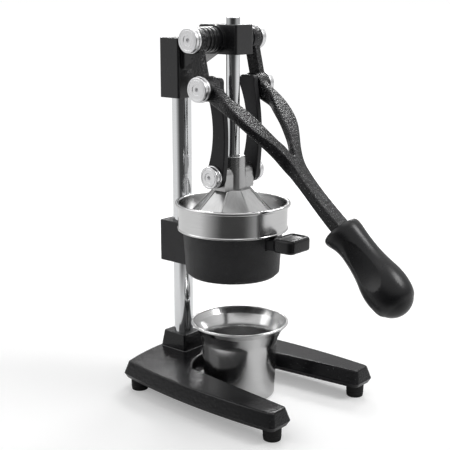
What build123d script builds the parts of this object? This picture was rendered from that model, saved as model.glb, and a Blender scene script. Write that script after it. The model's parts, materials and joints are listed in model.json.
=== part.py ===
from build123d import *
import math
import os

os.makedirs("parts", exist_ok=True)

# Lengths are millimetres. +X points forward, +Y to the left, +Z up.
# The origin lies on the floor under the middle of the whole outline.
# Plan sizes are given from the pressing axis, which stands at AXIS_X.

# Fits and shared edge work
RUN_FIT = 0.05
SNUG_FIT = 0.02
SIDE_PLAY = 0.3
OVERRUN = 1.0
SOCKET_DEPTH = 3.0
SOCKET_SIDES = 6
SCREW_SINK = 0.8
SCREW_EDGE = 0.8

# Pressing axis
AXIS_X = -61.2

# Strainer bowl and cone, across
SHEET = 1.2
WELL_R = 48.8
SPOUT_R = 14.0
WELL_PLAY = 0.6
HOLDER_WALL = 2.8
HOLDER_TAPER = 3.0
BAND_STEP = 5.4
BAND_ROUND = 2.0
RIM_FLARE = 3.4
BEAD_R = 1.8
CONE_INSET = 4.8
CONE_TOP_R = 9.0
CONE_SHEET = 1.0
FLANGE_PLAY = 0.6
HOLE_R = 1.5
HOLE_PITCH = 9.2
HOLE_RINGS = [0.34, 0.50, 0.66, 0.81, 0.93]
HOLDER_BORE_R = WELL_R + WELL_PLAY
HOLDER_UNDER_R = HOLDER_BORE_R + HOLDER_WALL
HOLDER_TOP_R = HOLDER_UNDER_R + HOLDER_TAPER
BAND_R = HOLDER_TOP_R + BAND_STEP
RIM_R = BAND_R + RIM_FLARE
CONE_R = WELL_R - CONE_INSET
CONE_FLANGE_R = BAND_R - SHEET - BAND_ROUND - FLANGE_PLAY

# Column
COLUMN_D = 22.0
COLUMN_CLEAR = 1.0
COLUMN_EDGE = 1.0
COLUMN_OFFSET = RIM_R + COLUMN_D / 2 + COLUMN_CLEAR
COLUMN_X = AXIS_X - COLUMN_OFFSET

# Base casting and feet
FOOT_H = 14.5
FOOT_D = 19.5
FOOT_EDGE = 0.8
FOOT_RECESS_D = 12.0
FOOT_RECESS_H = 7.0
FOOT_SCREW_D = 5.0
FOOT_SCREW_HEAD_D = 9.5
FOOT_SCREW_HEAD_H = 3.5
FOOT_SCREW_BITE = 11.0
FOOT_FRONT_INSET = 9.0
FOOT_BACK_INSET = (9.0, 9.0)
BASE_H = 19.4
BASE_DRAFT = 4.0
BASE_TUCK = 2.5
BASE_TUCK_H = 5.0
BASE_BEHIND = 25.0
BASE_BACK_BOW = 12.0
BASE_BACK_HALF = 79.0
BASE_SIDE = (50.0, 91.5)
BASE_FRONT = 126.5
BASE_FRONT_HALF = 87.5
GAP_FRONT_HALF = 63.5
GAP_BACK_HALF = 48.0
GAP_AHEAD = 35.0
GAP_BOW = 23.0
BASE_CORNER_R = 5.0
BASE_EDGE_R = 2.2
BOSS_RISE = 19.1
BOSS_HALF = (17.0, 14.0)
BOSS_FLARE = 4.0
BOSS_SHIFT = -2.5
BOSS_CORNER_R = 3.0
BOSS_EDGE_R = 1.2
COLUMN_SEAT = 9.5
COLUMN_BOLT_D = 10.0
COLUMN_BOLT_HEAD_H = 6.5
COLUMN_BOLT_HEAD_R = 9.2
COLUMN_BOLT_BITE = 22.0
WASHER_D = 24.0
WASHER_H = 2.0
WASHER_RECESS = 4.0
BASE_UNDER = FOOT_H
BASE_TOP = BASE_UNDER + BASE_H
BOSS_TOP = BASE_TOP + BOSS_RISE
COLUMN_FOOT = BASE_UNDER + COLUMN_SEAT
WASHER_SEAT = BASE_UNDER + WASHER_RECESS
BASE_BACK = COLUMN_OFFSET + BASE_BEHIND
GAP_END = GAP_AHEAD - COLUMN_OFFSET

# Levels of the bowl holder and the bowl
HOLDER_UNDER = 138.5
HOLDER_H = 50.5
HOLDER_FLOOR = 5.0
HOLDER_DRAIN_R = 18.0
HOLDER_ROUND = 3.5
HOLDER_SCREW_D = 6.0
HOLDER_SCREW_RISE = 25.5
BRACKET_HALF = 17.0
BRACKET_BACK = 21.0
BRACKET_LIFT = 2.0
BRACKET_DROP = 1.0
BRACKET_CORNER_R = 3.0
BRACKET_EDGE_R = 1.5
BAND_H = 31.0
WELL_H = 22.0
CONE_H = 26.0
SPOUT_RISE = 13.5
SPOUT_DROP = 9.5
HOLDER_TOP = HOLDER_UNDER + HOLDER_H
BRACKET_UNDER = HOLDER_UNDER + BRACKET_LIFT
BRACKET_TOP = HOLDER_TOP - BRACKET_DROP
HOLDER_SCREW_Z = HOLDER_UNDER + HOLDER_SCREW_RISE
LEDGE_TOP = HOLDER_TOP + SHEET
RIM_TOP = HOLDER_TOP + BAND_H
BEAD_Z = RIM_TOP - BEAD_R
WELL_UNDER = HOLDER_TOP - WELL_H
CONE_TOP = HOLDER_TOP + CONE_H
SPOUT_TOP = HOLDER_UNDER + SPOUT_RISE
SPOUT_END = HOLDER_UNDER - SPOUT_DROP

# Bowl handle
STRAP_HALF = 8.0
STRAP_T = 6.0
STRAP_DROP = 6.5
STRAP_ROOT = 2.0
SLOT_PLAY = 1.5
SLOT_DEPTH = 15.0
HANDLE_GAP = 4.0
HANDLE_LENGTH = 27.5
HANDLE_HALF = 18.2
HANDLE_BELOW = 5.5
HANDLE_ABOVE = 9.8
HANDLE_CORNER_R = 7.0
HANDLE_TOP_R = 3.0
HANDLE_UNDER_R = 2.0
HANDLE_WALL = 6.0
HANDLE_SCREW_IN = 10.0
HANDLE_SCREW_D = 4.0
HANDLE_SCREW_HEAD_D = 7.5
HANDLE_SCREW_HEAD_H = 2.2
STRAP_Z = HOLDER_TOP - STRAP_DROP
SLOT_HALF = STRAP_HALF + SLOT_PLAY
SLOT_UNDER = HOLDER_TOP - SLOT_DEPTH
HANDLE_BACK = RIM_R + HANDLE_GAP
HANDLE_FRONT = HANDLE_BACK + HANDLE_LENGTH
HANDLE_UNDER = STRAP_Z - HANDLE_BELOW
HANDLE_TOP = STRAP_Z + HANDLE_ABOVE
STRAP_END = HANDLE_FRONT - HANDLE_WALL
HANDLE_SCREW_X = AXIS_X + HANDLE_BACK + HANDLE_SCREW_IN

# Plunger
ROD_D = 14.8
ROD_STUB = 7.5
ROD_EDGE = 1.0
YOKE_WEB = 5.0
SLEEVE_D = 28.0
SLEEVE_RISE = 20.0
SLEEVE_EDGE_R = 0.8
EAR_R = 9.5
LOWER_RISE = 16.0
BELL_REST = 10.5
BELL_H = 35.5
BELL_SIDES = 8
BELL_CLEAR = 5.3
BELL_TOP_FLAT = 18.5
BELL_CROWN = 5.0
BELL_HOLLOW_TOP_R = 15.0
BELL_LIP = 3.2
BELL_SCREW_D = 8.0
BELL_SCREW_HEAD_D = 14.0
BELL_SCREW_HEAD_H = 5.0
BELL_SCREW_ROUND = 1.5
BELL_SCREW_BITE = 18.0
FLAT_TO_CORNER = 1 / math.cos(math.pi / BELL_SIDES)
HALF_FACET = 180 / BELL_SIDES
BELL_UNDER_FLAT = (BAND_R - SHEET - BELL_CLEAR) / FLAT_TO_CORNER
BELL_UNDER = HOLDER_TOP + BELL_REST
YOKE_UNDER = BELL_UNDER + BELL_H
ROD_FOOT = YOKE_UNDER + YOKE_WEB
BELL_SCREW_SEAT = YOKE_UNDER - BELL_CROWN

# Lever linkage in side view, from the plunger pivot up to the head pivot
CRANK_LENGTH = 51.4
CRANK_LEAN = 13.2
LINK_LENGTH = 94.5
UPPER_BACK = 13.0
LEAN = math.radians(CRANK_LEAN)
UPPER_X = AXIS_X - UPPER_BACK
MIDDLE_X = UPPER_X + CRANK_LENGTH * math.sin(LEAN)
LOWER_X = AXIS_X
LOWER_Z = YOKE_UNDER + LOWER_RISE
MIDDLE_Z = LOWER_Z + math.sqrt(LINK_LENGTH**2 - (MIDDLE_X - LOWER_X) ** 2)
UPPER_Z = MIDDLE_Z + CRANK_LENGTH * math.cos(LEAN)
SLEEVE_TOP = LOWER_Z + SLEEVE_RISE

# Head casting
HEAD_RISE = 15.5
HEAD_FRONT = 16.3
HEAD_HALF = 14.1
HEAD_ARM_H = 31.2
HEAD_ARM_BACK = 34.0
HEAD_STEP = 5.0
GUSSET_BACK = 30.0
GUSSET_LIFT = 31.3
REAR_STEP = 15.7
REAR_H = 65.6
REAR_HALF_DEPTH = 14.5
REAR_HALF = 20.0
HEAD_CORNER_R = 2.5
HEAD_EDGE_R = 1.2
PAD_H = 3.3
PAD_R = 15.0
COLUMN_CAP = 8.3
HEAD_SCREW_D = 8.0
HEAD_SCREW_BITE = 16.0
HEAD_TOP = UPPER_Z + HEAD_RISE
HEAD_ARM_UNDER = HEAD_TOP - HEAD_ARM_H
REAR_TOP = HEAD_TOP - REAR_STEP
REAR_UNDER = REAR_TOP - REAR_H
REAR_FRONT_X = COLUMN_X + REAR_HALF_DEPTH
GUSSET_FOOT = REAR_UNDER + GUSSET_LIFT
COLUMN_TOP = REAR_TOP - COLUMN_CAP
HEAD_PAD_OUT = HEAD_HALF + PAD_H
ROD_TOP = HEAD_TOP + ROD_STUB

# Lever linkage across, measured outward from the middle plane
EAR_WALL = 1.6
EAR_OUT = 24.2
LINK_T = 7.5
HUB_OUT = 49.5
CRANK_T = 8.0
EAR_IN = ROD_D / 2 + EAR_WALL
LINK_IN = EAR_OUT + SIDE_PLAY
LINK_OUT = LINK_IN + LINK_T
HUB_IN = LINK_OUT + 2 * SIDE_PLAY
CRANK_IN = HUB_OUT - CRANK_T
SPACER_OUT = CRANK_IN - SIDE_PLAY

# Pivot hardware
PIN_D = 12.0
EYE_R = 13.2
CRANK_HALF = 7.5
CAP_D = 26.2
LOWER_CAP_D = 24.2
CAP_H = 4.6
CAP_ROUND = 1.0
CAP_DISH_R = 7.5
CAP_DISH_H = 0.8
CAP_SOCKET_R = 2.6
CAP_SOCKET_H = 3.0
PIVOT_WASHER_H = 3.0
PIVOT_WASHER_EXTRA = 0.7
PIN_WALL = 3.4
LINK_PIN_DEPTH = 5.0
SPACER_R = 13.4
SPACER_GROOVE = 1.2
SPACER_RINGS = 3
PIN_TIP = ROD_D / 2 + PIN_WALL
RING_PITCH = (SPACER_OUT - HEAD_PAD_OUT) / (SPACER_RINGS + 1)
UPPER_WASHER_SEAT = HUB_OUT + SIDE_PLAY
UPPER_BOLT_SEAT = UPPER_WASHER_SEAT + PIVOT_WASHER_H
MIDDLE_BOLT_SEAT = HUB_OUT + PIVOT_WASHER_H
LOWER_WASHER_SEAT = LINK_OUT + SIDE_PLAY
LOWER_BOLT_SEAT = LOWER_WASHER_SEAT + PIVOT_WASHER_H
LINK_PIN_IN = LINK_OUT - LINK_PIN_DEPTH

# Lever fork and grip, along and above a line that slopes down from the middle pivot
LEVER_SLOPE = 45.0
CROTCH_AT = 100.0
SHAFT_RUN = 98.0
SHAFT_EASE = 33.0
SHAFT_UNDER_EASE = 30.0
SHAFT_HALF = 10.4
SHAFT_T = 13.2
SHAFT_RISE = 7.8
FORK_EDGE_R = 3.0
FORK_LEAN = 40.0
FORK_LEVEL = 15.5
LONG_EDGE = 60.0
TANG_D = 13.0
TANG_ROOT = 4.0
GRIP_RISE = 8.0
GRIP_LENGTH = 106.5
GRIP_END_WALL = 28.5
SCOOP_R = 90.0
SCOOP_FLOOR_R = 15.8
SCOOP_AT = 38.0
SCOOP_TILT = 15.0
TANG_LENGTH = GRIP_LENGTH - GRIP_END_WALL
SHAFT_END = CROTCH_AT + SHAFT_RUN
# Percent of the way to the crotch and share of the half width, at the outer edge and at the mouth
FORK_SPREAD = [(-26, 0.885), (14, 0.923), (28, 0.967), (42, 0.946), (56, 0.87)]
FORK_SPREAD += [(70, 0.711), (84, 0.465), (98, 0.2), (108, 0.065), (118, 0.012)]
FORK_MOUTH = [(-26, 1.02), (12, 1.02), (22, 0.99), (33, 0.84), (45, 0.69), (58, 0.57)]
FORK_MOUTH += [(71, 0.45), (84, 0.3), (94, 0.13), (100, 0)]
# Percent of the way to the crotch, and height, of the upper and lower edges in side view
FORK_RIDGE = [(-8, 9.5), (20, 13.2), (45, 15.4), (70, 16.4), (92, 15.6), (115, 12.6), (137, 10.9)]
FORK_BELLY = [(-8, -9), (10, -6.5), (22, -2.8), (34, 2), (46, 5.6), (60, 7.4), (74, 7)]
FORK_BELLY += [(98, 3.2), (115, -0.3), (140, -0.3)]
FORK_UPPER = [(percent * CROTCH_AT / 100, height) for percent, height in FORK_RIDGE]
FORK_UPPER += [(SHAFT_END - SHAFT_EASE, 11.6), (SHAFT_END, SHAFT_RISE + SHAFT_T / 2)]
FORK_LOWER = [(percent * CROTCH_AT / 100, height) for percent, height in FORK_BELLY]
FORK_LOWER += [(SHAFT_END - SHAFT_UNDER_EASE, 0), (SHAFT_END, SHAFT_RISE - SHAFT_T / 2)]
# Share of the grip's length, radius and rise of the middle of each round section
GRIP_SECTIONS = [(0, 18.4, -1.4), (0.038, 20.4, -1.8), (0.094, 19.6, -0.6), (0.207, 17.8, 1.2)]
GRIP_SECTIONS += [(0.376, 18.4, 1.6), (0.582, 22.2, 1.6), (0.714, 23.8, 1.5), (0.826, 22.6, 1.5)]
GRIP_SECTIONS += [(0.92, 17.2, 1.5)]

# Links
LINK_EYE_R = 12.6
LINK_HEAD_HALF = 10.6
LINK_HEAD_RISE = 11.0
LINK_HEAD_R = 4.5
LINK_WAIST = 17.0
LINK_BOW = 7.5
LINK_EDGE = 0.8

# Collecting cup
CUP_X = 10.4
CUP_SHEET = 1.0
CUP_ROUND = 2.0
CUP_UNDER_R = 39.5
CUP_NECK_R = 43.0
CUP_NECK_Z = 72.0
CUP_RIM_R = 54.5
CUP_TOP = 85.0
CUP_LIP_R = 1.4
CUP_LINE_X = AXIS_X + CUP_X

SIDES = (-1, 1)


def side_slab(side, inner, outer):
    """Plane of the slab between two distances from the middle, drawn toward -Y."""
    return Plane.XZ.offset(inner if side < 0 else -outer)


def turning_plane(side, x, z):
    """Plane through a cross pivot: local X outward along the pivot, local Y up."""
    return Plane(origin=(x, 0, z), x_dir=(0, side, 0), z_dir=(side, 0, 0))


def cross_axis(x, z):
    """Axis across the machine through one pivot."""
    return Axis((x, 0, z), (0, 1, 0))


def bolt_points(seat, tip, head_r):
    """Half outline of a capped pivot bolt from its inner tip to its dished face."""
    pin_r = PIN_D / 2
    face = seat + CAP_H
    return [
        (tip, 0),
        (tip, pin_r - CAP_ROUND),
        (tip + CAP_ROUND, pin_r),
        (seat, pin_r),
        (seat, head_r - CAP_ROUND),
        (seat + CAP_ROUND, head_r),
        (face - CAP_ROUND, head_r),
        (face, head_r - CAP_ROUND),
        (face, CAP_DISH_R + CAP_DISH_H),
        (face - CAP_DISH_H, CAP_DISH_R),
        (face - CAP_DISH_H, CAP_SOCKET_R),
        (face - CAP_SOCKET_H, CAP_SOCKET_R),
        (face - CAP_SOCKET_H, 0),
    ]


def washer_points(seat, outer_r):
    """Half outline of a pivot washer with eased rims."""
    bore = PIN_D / 2 + SNUG_FIT
    face = seat + PIVOT_WASHER_H
    return [
        (seat, bore),
        (seat, outer_r - CAP_ROUND),
        (seat + CAP_ROUND, outer_r),
        (face - CAP_ROUND, outer_r),
        (face, outer_r - CAP_ROUND),
        (face, bore),
    ]


def base_corners(grow):
    """Corner and bow points of the horseshoe outline, grown outward all round."""
    back = -BASE_BACK - grow
    corner = (back + BASE_BACK_BOW, BASE_BACK_HALF + grow)
    side = (BASE_SIDE[0], BASE_SIDE[1] + grow)
    front = BASE_FRONT + grow
    outer = BASE_FRONT_HALF + grow
    inner = GAP_FRONT_HALF - grow
    end = GAP_END + grow
    root = (end + GAP_BOW, GAP_BACK_HALF - grow)
    return back, corner, side, front, outer, inner, root, end


def at(x, y):
    """Plan point given from the pressing axis."""
    return (AXIS_X + x, y)


# Base: a drafted horseshoe, tucked in below, with a tapered boss for the column
FOOT_FRONT = (BASE_FRONT - FOOT_FRONT_INSET, (BASE_FRONT_HALF + GAP_FRONT_HALF) / 2)
FOOT_BACK = (
    BASE_BACK_BOW + FOOT_BACK_INSET[0] - BASE_BACK,
    BASE_BACK_HALF - FOOT_BACK_INSET[1],
)
FEET = [at(x, side * y) for x, y in (FOOT_FRONT, FOOT_BACK) for side in SIDES]
BASE_LEVELS = [
    (BASE_UNDER, BASE_DRAFT - BASE_TUCK),
    (BASE_UNDER + BASE_TUCK_H, BASE_DRAFT),
    (BASE_TOP, 0.0),
]

with BuildPart() as base_casting:
    for level, grow in BASE_LEVELS:
        back, corner, side, front, outer, inner, root, end = base_corners(grow)
        with BuildSketch(Plane.XY.offset(level)) as outline:
            with BuildLine():
                ThreePointArc(at(corner[0], -corner[1]), at(back, 0), at(*corner))
                ThreePointArc(at(*corner), at(*side), at(front, outer))
                Line(at(front, outer), at(front, inner))
                Line(at(front, inner), at(*root))
                ThreePointArc(at(*root), at(end, 0), at(root[0], -root[1]))
                Line(at(root[0], -root[1]), at(front, -inner))
                Line(at(front, -inner), at(front, -outer))
                ThreePointArc(at(front, -outer), at(side[0], -side[1]), at(corner[0], -corner[1]))
            make_face()
            fillet(outline.vertices(), BASE_CORNER_R)
    loft(ruled=True)
    fillet(base_casting.faces().sort_by(Axis.Z)[-1].edges(), BASE_EDGE_R)
    boss_x = COLUMN_X + BOSS_SHIFT
    with BuildSketch(Plane((boss_x, 0, BASE_UNDER + BASE_H / 2))) as boss_foot:
        Rectangle(2 * (BOSS_HALF[0] + BOSS_FLARE), 2 * (BOSS_HALF[1] + BOSS_FLARE))
        fillet(boss_foot.vertices(), BOSS_CORNER_R)
    with BuildSketch(Plane((boss_x, 0, BOSS_TOP))) as boss_top:
        Rectangle(2 * BOSS_HALF[0], 2 * BOSS_HALF[1])
        fillet(boss_top.vertices(), BOSS_CORNER_R)
    loft(ruled=True)
    fillet(base_casting.faces().sort_by(Axis.Z)[-1].edges(), BOSS_EDGE_R)
    with BuildSketch(Plane.XY.offset(COLUMN_FOOT)):
        with Locations((COLUMN_X, 0)):
            Circle(COLUMN_D / 2 + SNUG_FIT)
    extrude(amount=BOSS_TOP - COLUMN_FOOT, mode=Mode.SUBTRACT)
    with BuildSketch(Plane.XY.offset(BASE_UNDER)):
        with Locations((COLUMN_X, 0)):
            Circle(COLUMN_BOLT_D / 2 + SNUG_FIT)
    extrude(amount=COLUMN_FOOT - BASE_UNDER, mode=Mode.SUBTRACT)
    with BuildSketch(Plane.XY.offset(BASE_UNDER)):
        with Locations((COLUMN_X, 0)):
            Circle(WASHER_D / 2 + SIDE_PLAY)
    extrude(amount=WASHER_RECESS, mode=Mode.SUBTRACT)
    with BuildSketch(Plane.XY.offset(BASE_UNDER)):
        with Locations(*FEET):
            Circle(FOOT_SCREW_D / 2 + SNUG_FIT)
    extrude(amount=FOOT_SCREW_BITE + OVERRUN, mode=Mode.SUBTRACT)

with BuildPart() as rubber_feet:
    with BuildSketch():
        with Locations(*FEET):
            Circle(FOOT_D / 2)
    extrude(amount=FOOT_H)
    chamfer(rubber_feet.edges().group_by(Axis.Z)[0], FOOT_EDGE)
    with BuildSketch():
        with Locations(*FEET):
            Circle(FOOT_RECESS_D / 2)
    extrude(amount=FOOT_RECESS_H, mode=Mode.SUBTRACT)
    with BuildSketch():
        with Locations(*FEET):
            Circle(FOOT_SCREW_D / 2 + SNUG_FIT)
    extrude(amount=FOOT_H, mode=Mode.SUBTRACT)

with BuildPart() as foot_screws:
    with BuildSketch(Plane.XY.offset(FOOT_RECESS_H - FOOT_SCREW_HEAD_H)):
        with Locations(*FEET):
            Circle(FOOT_SCREW_HEAD_D / 2)
    extrude(amount=FOOT_SCREW_HEAD_H)
    chamfer(foot_screws.edges().group_by(Axis.Z)[0], SCREW_EDGE)
    with BuildSketch(Plane.XY.offset(FOOT_RECESS_H)):
        with Locations(*FEET):
            Circle(FOOT_SCREW_D / 2)
    extrude(amount=FOOT_H - FOOT_RECESS_H + FOOT_SCREW_BITE)

with BuildPart() as column:
    with BuildSketch(Plane.XY.offset(COLUMN_FOOT)):
        with Locations((COLUMN_X, 0)):
            Circle(COLUMN_D / 2)
    extrude(amount=COLUMN_TOP - COLUMN_FOOT)
    chamfer(column.edges().group_by(Axis.Z)[-1], COLUMN_EDGE)
    with BuildSketch(Plane.XY.offset(COLUMN_FOOT)):
        with Locations((COLUMN_X, 0)):
            Circle(COLUMN_BOLT_D / 2 + SNUG_FIT)
    extrude(amount=COLUMN_BOLT_BITE + OVERRUN, mode=Mode.SUBTRACT)
    with BuildSketch(Plane.XY.offset(COLUMN_TOP - HEAD_SCREW_BITE - OVERRUN)):
        with Locations((COLUMN_X, 0)):
            Circle(HEAD_SCREW_D / 2 + SNUG_FIT)
    extrude(amount=HEAD_SCREW_BITE + OVERRUN, mode=Mode.SUBTRACT)

with BuildPart() as column_washer:
    with BuildSketch(Plane.XY.offset(WASHER_SEAT - WASHER_H)):
        with Locations((COLUMN_X, 0)):
            Circle(WASHER_D / 2)
            Circle(COLUMN_BOLT_D / 2 + SNUG_FIT, mode=Mode.SUBTRACT)
    extrude(amount=WASHER_H)

with BuildPart() as column_bolt:
    with BuildSketch(Plane.XY.offset(WASHER_SEAT - WASHER_H - COLUMN_BOLT_HEAD_H)):
        with Locations((COLUMN_X, 0)):
            RegularPolygon(COLUMN_BOLT_HEAD_R, SOCKET_SIDES)
    extrude(amount=COLUMN_BOLT_HEAD_H)
    with BuildSketch(Plane.XY.offset(WASHER_SEAT - WASHER_H)):
        with Locations((COLUMN_X, 0)):
            Circle(COLUMN_BOLT_D / 2)
    extrude(amount=COLUMN_FOOT - WASHER_SEAT + WASHER_H + COLUMN_BOLT_BITE)

# Head: rear block on the column, stepped arm, gusset, and pads for the lever pivots
with BuildPart() as head_casting:
    with BuildSketch(Plane.XZ):
        with BuildLine():
            Polyline(
                (AXIS_X + HEAD_FRONT, HEAD_ARM_UNDER),
                (AXIS_X + HEAD_FRONT, HEAD_TOP),
                (AXIS_X - HEAD_ARM_BACK, HEAD_TOP),
                (AXIS_X - HEAD_ARM_BACK - HEAD_STEP, HEAD_TOP - HEAD_STEP),
                (AXIS_X - HEAD_ARM_BACK - HEAD_STEP, REAR_TOP),
                (REAR_FRONT_X - OVERRUN, REAR_TOP),
                (REAR_FRONT_X - OVERRUN, GUSSET_FOOT),
                (REAR_FRONT_X, GUSSET_FOOT),
                (AXIS_X - GUSSET_BACK, HEAD_ARM_UNDER),
                close=True,
            )
        make_face()
    extrude(amount=HEAD_HALF, both=True)
    upright = head_casting.edges().filter_by(Axis.Z)
    fillet(upright.group_by(Axis.X)[-1], HEAD_CORNER_R)
    fillet(head_casting.faces().sort_by(Axis.Z)[-1].edges(), HEAD_EDGE_R)
    with BuildSketch(Plane((COLUMN_X, 0, REAR_UNDER))) as rear_outline:
        Rectangle(2 * REAR_HALF_DEPTH, 2 * REAR_HALF)
        fillet(rear_outline.vertices(), HEAD_CORNER_R)
    extrude(amount=REAR_TOP - REAR_UNDER)
    for side in SIDES:
        with BuildSketch(side_slab(side, HEAD_HALF - OVERRUN, HEAD_PAD_OUT)):
            with Locations((UPPER_X, UPPER_Z)):
                Circle(PAD_R)
        extrude(amount=PAD_H + OVERRUN)
        with BuildSketch(side_slab(side, PIN_TIP - OVERRUN, HEAD_PAD_OUT)):
            with Locations((UPPER_X, UPPER_Z)):
                Circle(PIN_D / 2 + SNUG_FIT)
        extrude(amount=HEAD_PAD_OUT - PIN_TIP + OVERRUN, mode=Mode.SUBTRACT)
    with BuildSketch(Plane.XY.offset(REAR_UNDER)):
        with Locations((COLUMN_X, 0)):
            Circle(COLUMN_D / 2 + SNUG_FIT)
    extrude(amount=COLUMN_TOP - REAR_UNDER, mode=Mode.SUBTRACT)
    with BuildSketch(Plane.XY.offset(HEAD_ARM_UNDER - OVERRUN)):
        with Locations((AXIS_X, 0)):
            Circle(ROD_D / 2 + RUN_FIT)
    extrude(amount=HEAD_ARM_H + 2 * OVERRUN, mode=Mode.SUBTRACT)
    with BuildSketch(Plane.XY.offset(COLUMN_TOP)):
        with Locations((COLUMN_X, 0)):
            Circle(HEAD_SCREW_D / 2 + SNUG_FIT)
    extrude(amount=COLUMN_CAP, mode=Mode.SUBTRACT)

with BuildPart() as head_screw:
    with BuildSketch(Plane.XY.offset(COLUMN_TOP - HEAD_SCREW_BITE)):
        with Locations((COLUMN_X, 0)):
            Circle(HEAD_SCREW_D / 2)
    extrude(amount=HEAD_SCREW_BITE + COLUMN_CAP - SCREW_SINK)
    with BuildSketch(Plane.XY.offset(REAR_TOP - SCREW_SINK - SOCKET_DEPTH)):
        with Locations((COLUMN_X, 0)):
            RegularPolygon(HEAD_SCREW_D / 4, SOCKET_SIDES)
    extrude(amount=SOCKET_DEPTH, mode=Mode.SUBTRACT)

with BuildPart() as upper_spacer_bushes:
    for side in SIDES:
        with BuildSketch(side_slab(side, HEAD_PAD_OUT, SPACER_OUT)):
            with Locations((UPPER_X, UPPER_Z)):
                Circle(SPACER_R)
        extrude(amount=SPACER_OUT - HEAD_PAD_OUT)
        for ring in range(SPACER_RINGS):
            middle = HEAD_PAD_OUT + (ring + 1) * RING_PITCH
            with BuildSketch(side_slab(side, middle - SPACER_GROOVE, middle + SPACER_GROOVE)):
                with Locations((UPPER_X, UPPER_Z)):
                    Circle(SPACER_R + OVERRUN)
                    Circle(SPACER_R - SPACER_GROOVE, mode=Mode.SUBTRACT)
            extrude(amount=2 * SPACER_GROOVE, mode=Mode.SUBTRACT)
        with BuildSketch(side_slab(side, HEAD_PAD_OUT, SPACER_OUT)):
            with Locations((UPPER_X, UPPER_Z)):
                Circle(PIN_D / 2 + SNUG_FIT)
        extrude(amount=SPACER_OUT - HEAD_PAD_OUT, mode=Mode.SUBTRACT)

with BuildPart() as upper_pivot_washers:
    for side in SIDES:
        with BuildSketch(turning_plane(side, UPPER_X, UPPER_Z)):
            with BuildLine():
                rim_r = CAP_D / 2 + PIVOT_WASHER_EXTRA
                Polyline(*washer_points(UPPER_WASHER_SEAT, rim_r), close=True)
            make_face()
        revolve(axis=cross_axis(UPPER_X, UPPER_Z))

with BuildPart() as upper_pivot_bolts:
    for side in SIDES:
        with BuildSketch(turning_plane(side, UPPER_X, UPPER_Z)):
            with BuildLine():
                Polyline(*bolt_points(UPPER_BOLT_SEAT, PIN_TIP, CAP_D / 2), close=True)
            make_face()
        revolve(axis=cross_axis(UPPER_X, UPPER_Z))

# Lever: crank eyes, hubs, converging fork, shaft and the tang inside the grip
SLOPE = math.radians(LEVER_SLOPE)
ALONG = (math.cos(SLOPE), 0, -math.sin(SLOPE))
ABOVE = (math.sin(SLOPE), 0, math.cos(SLOPE))
FORK_PLAN = Plane((MIDDLE_X, 0, MIDDLE_Z), x_dir=ALONG, z_dir=ABOVE)
FORK_SIDE = Plane((MIDDLE_X, 0, MIDDLE_Z), x_dir=ALONG, z_dir=(0, -1, 0))
HALF_SPAN = HUB_OUT + OVERRUN
SPREAD_ROOM = HUB_OUT - SHAFT_HALF
FORK_OUTER = [(u * CROTCH_AT / 100, SHAFT_HALF + share * SPREAD_ROOM) for u, share in FORK_SPREAD]
FORK_INNER = [(u * CROTCH_AT / 100, share * HUB_IN) for u, share in FORK_MOUTH]
FORK_LEAN_RUN = math.tan(math.radians(FORK_LEAN))
# The side walls of the fork stand nearly upright while the lever hangs down
FORK_DRAW = FORK_PLAN.from_local_coords((-FORK_LEAN_RUN, 0, 1)) - FORK_PLAN.origin
FORK_DRAW_START = ((FORK_LEVEL + HALF_SPAN) * FORK_LEAN_RUN, 0, -HALF_SPAN)
FORK_DRAW_PLAN = Plane(FORK_PLAN.from_local_coords(FORK_DRAW_START), x_dir=ALONG, z_dir=ABOVE)
SHAFT_TIP = SHAFT_END + HALF_SPAN

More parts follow.
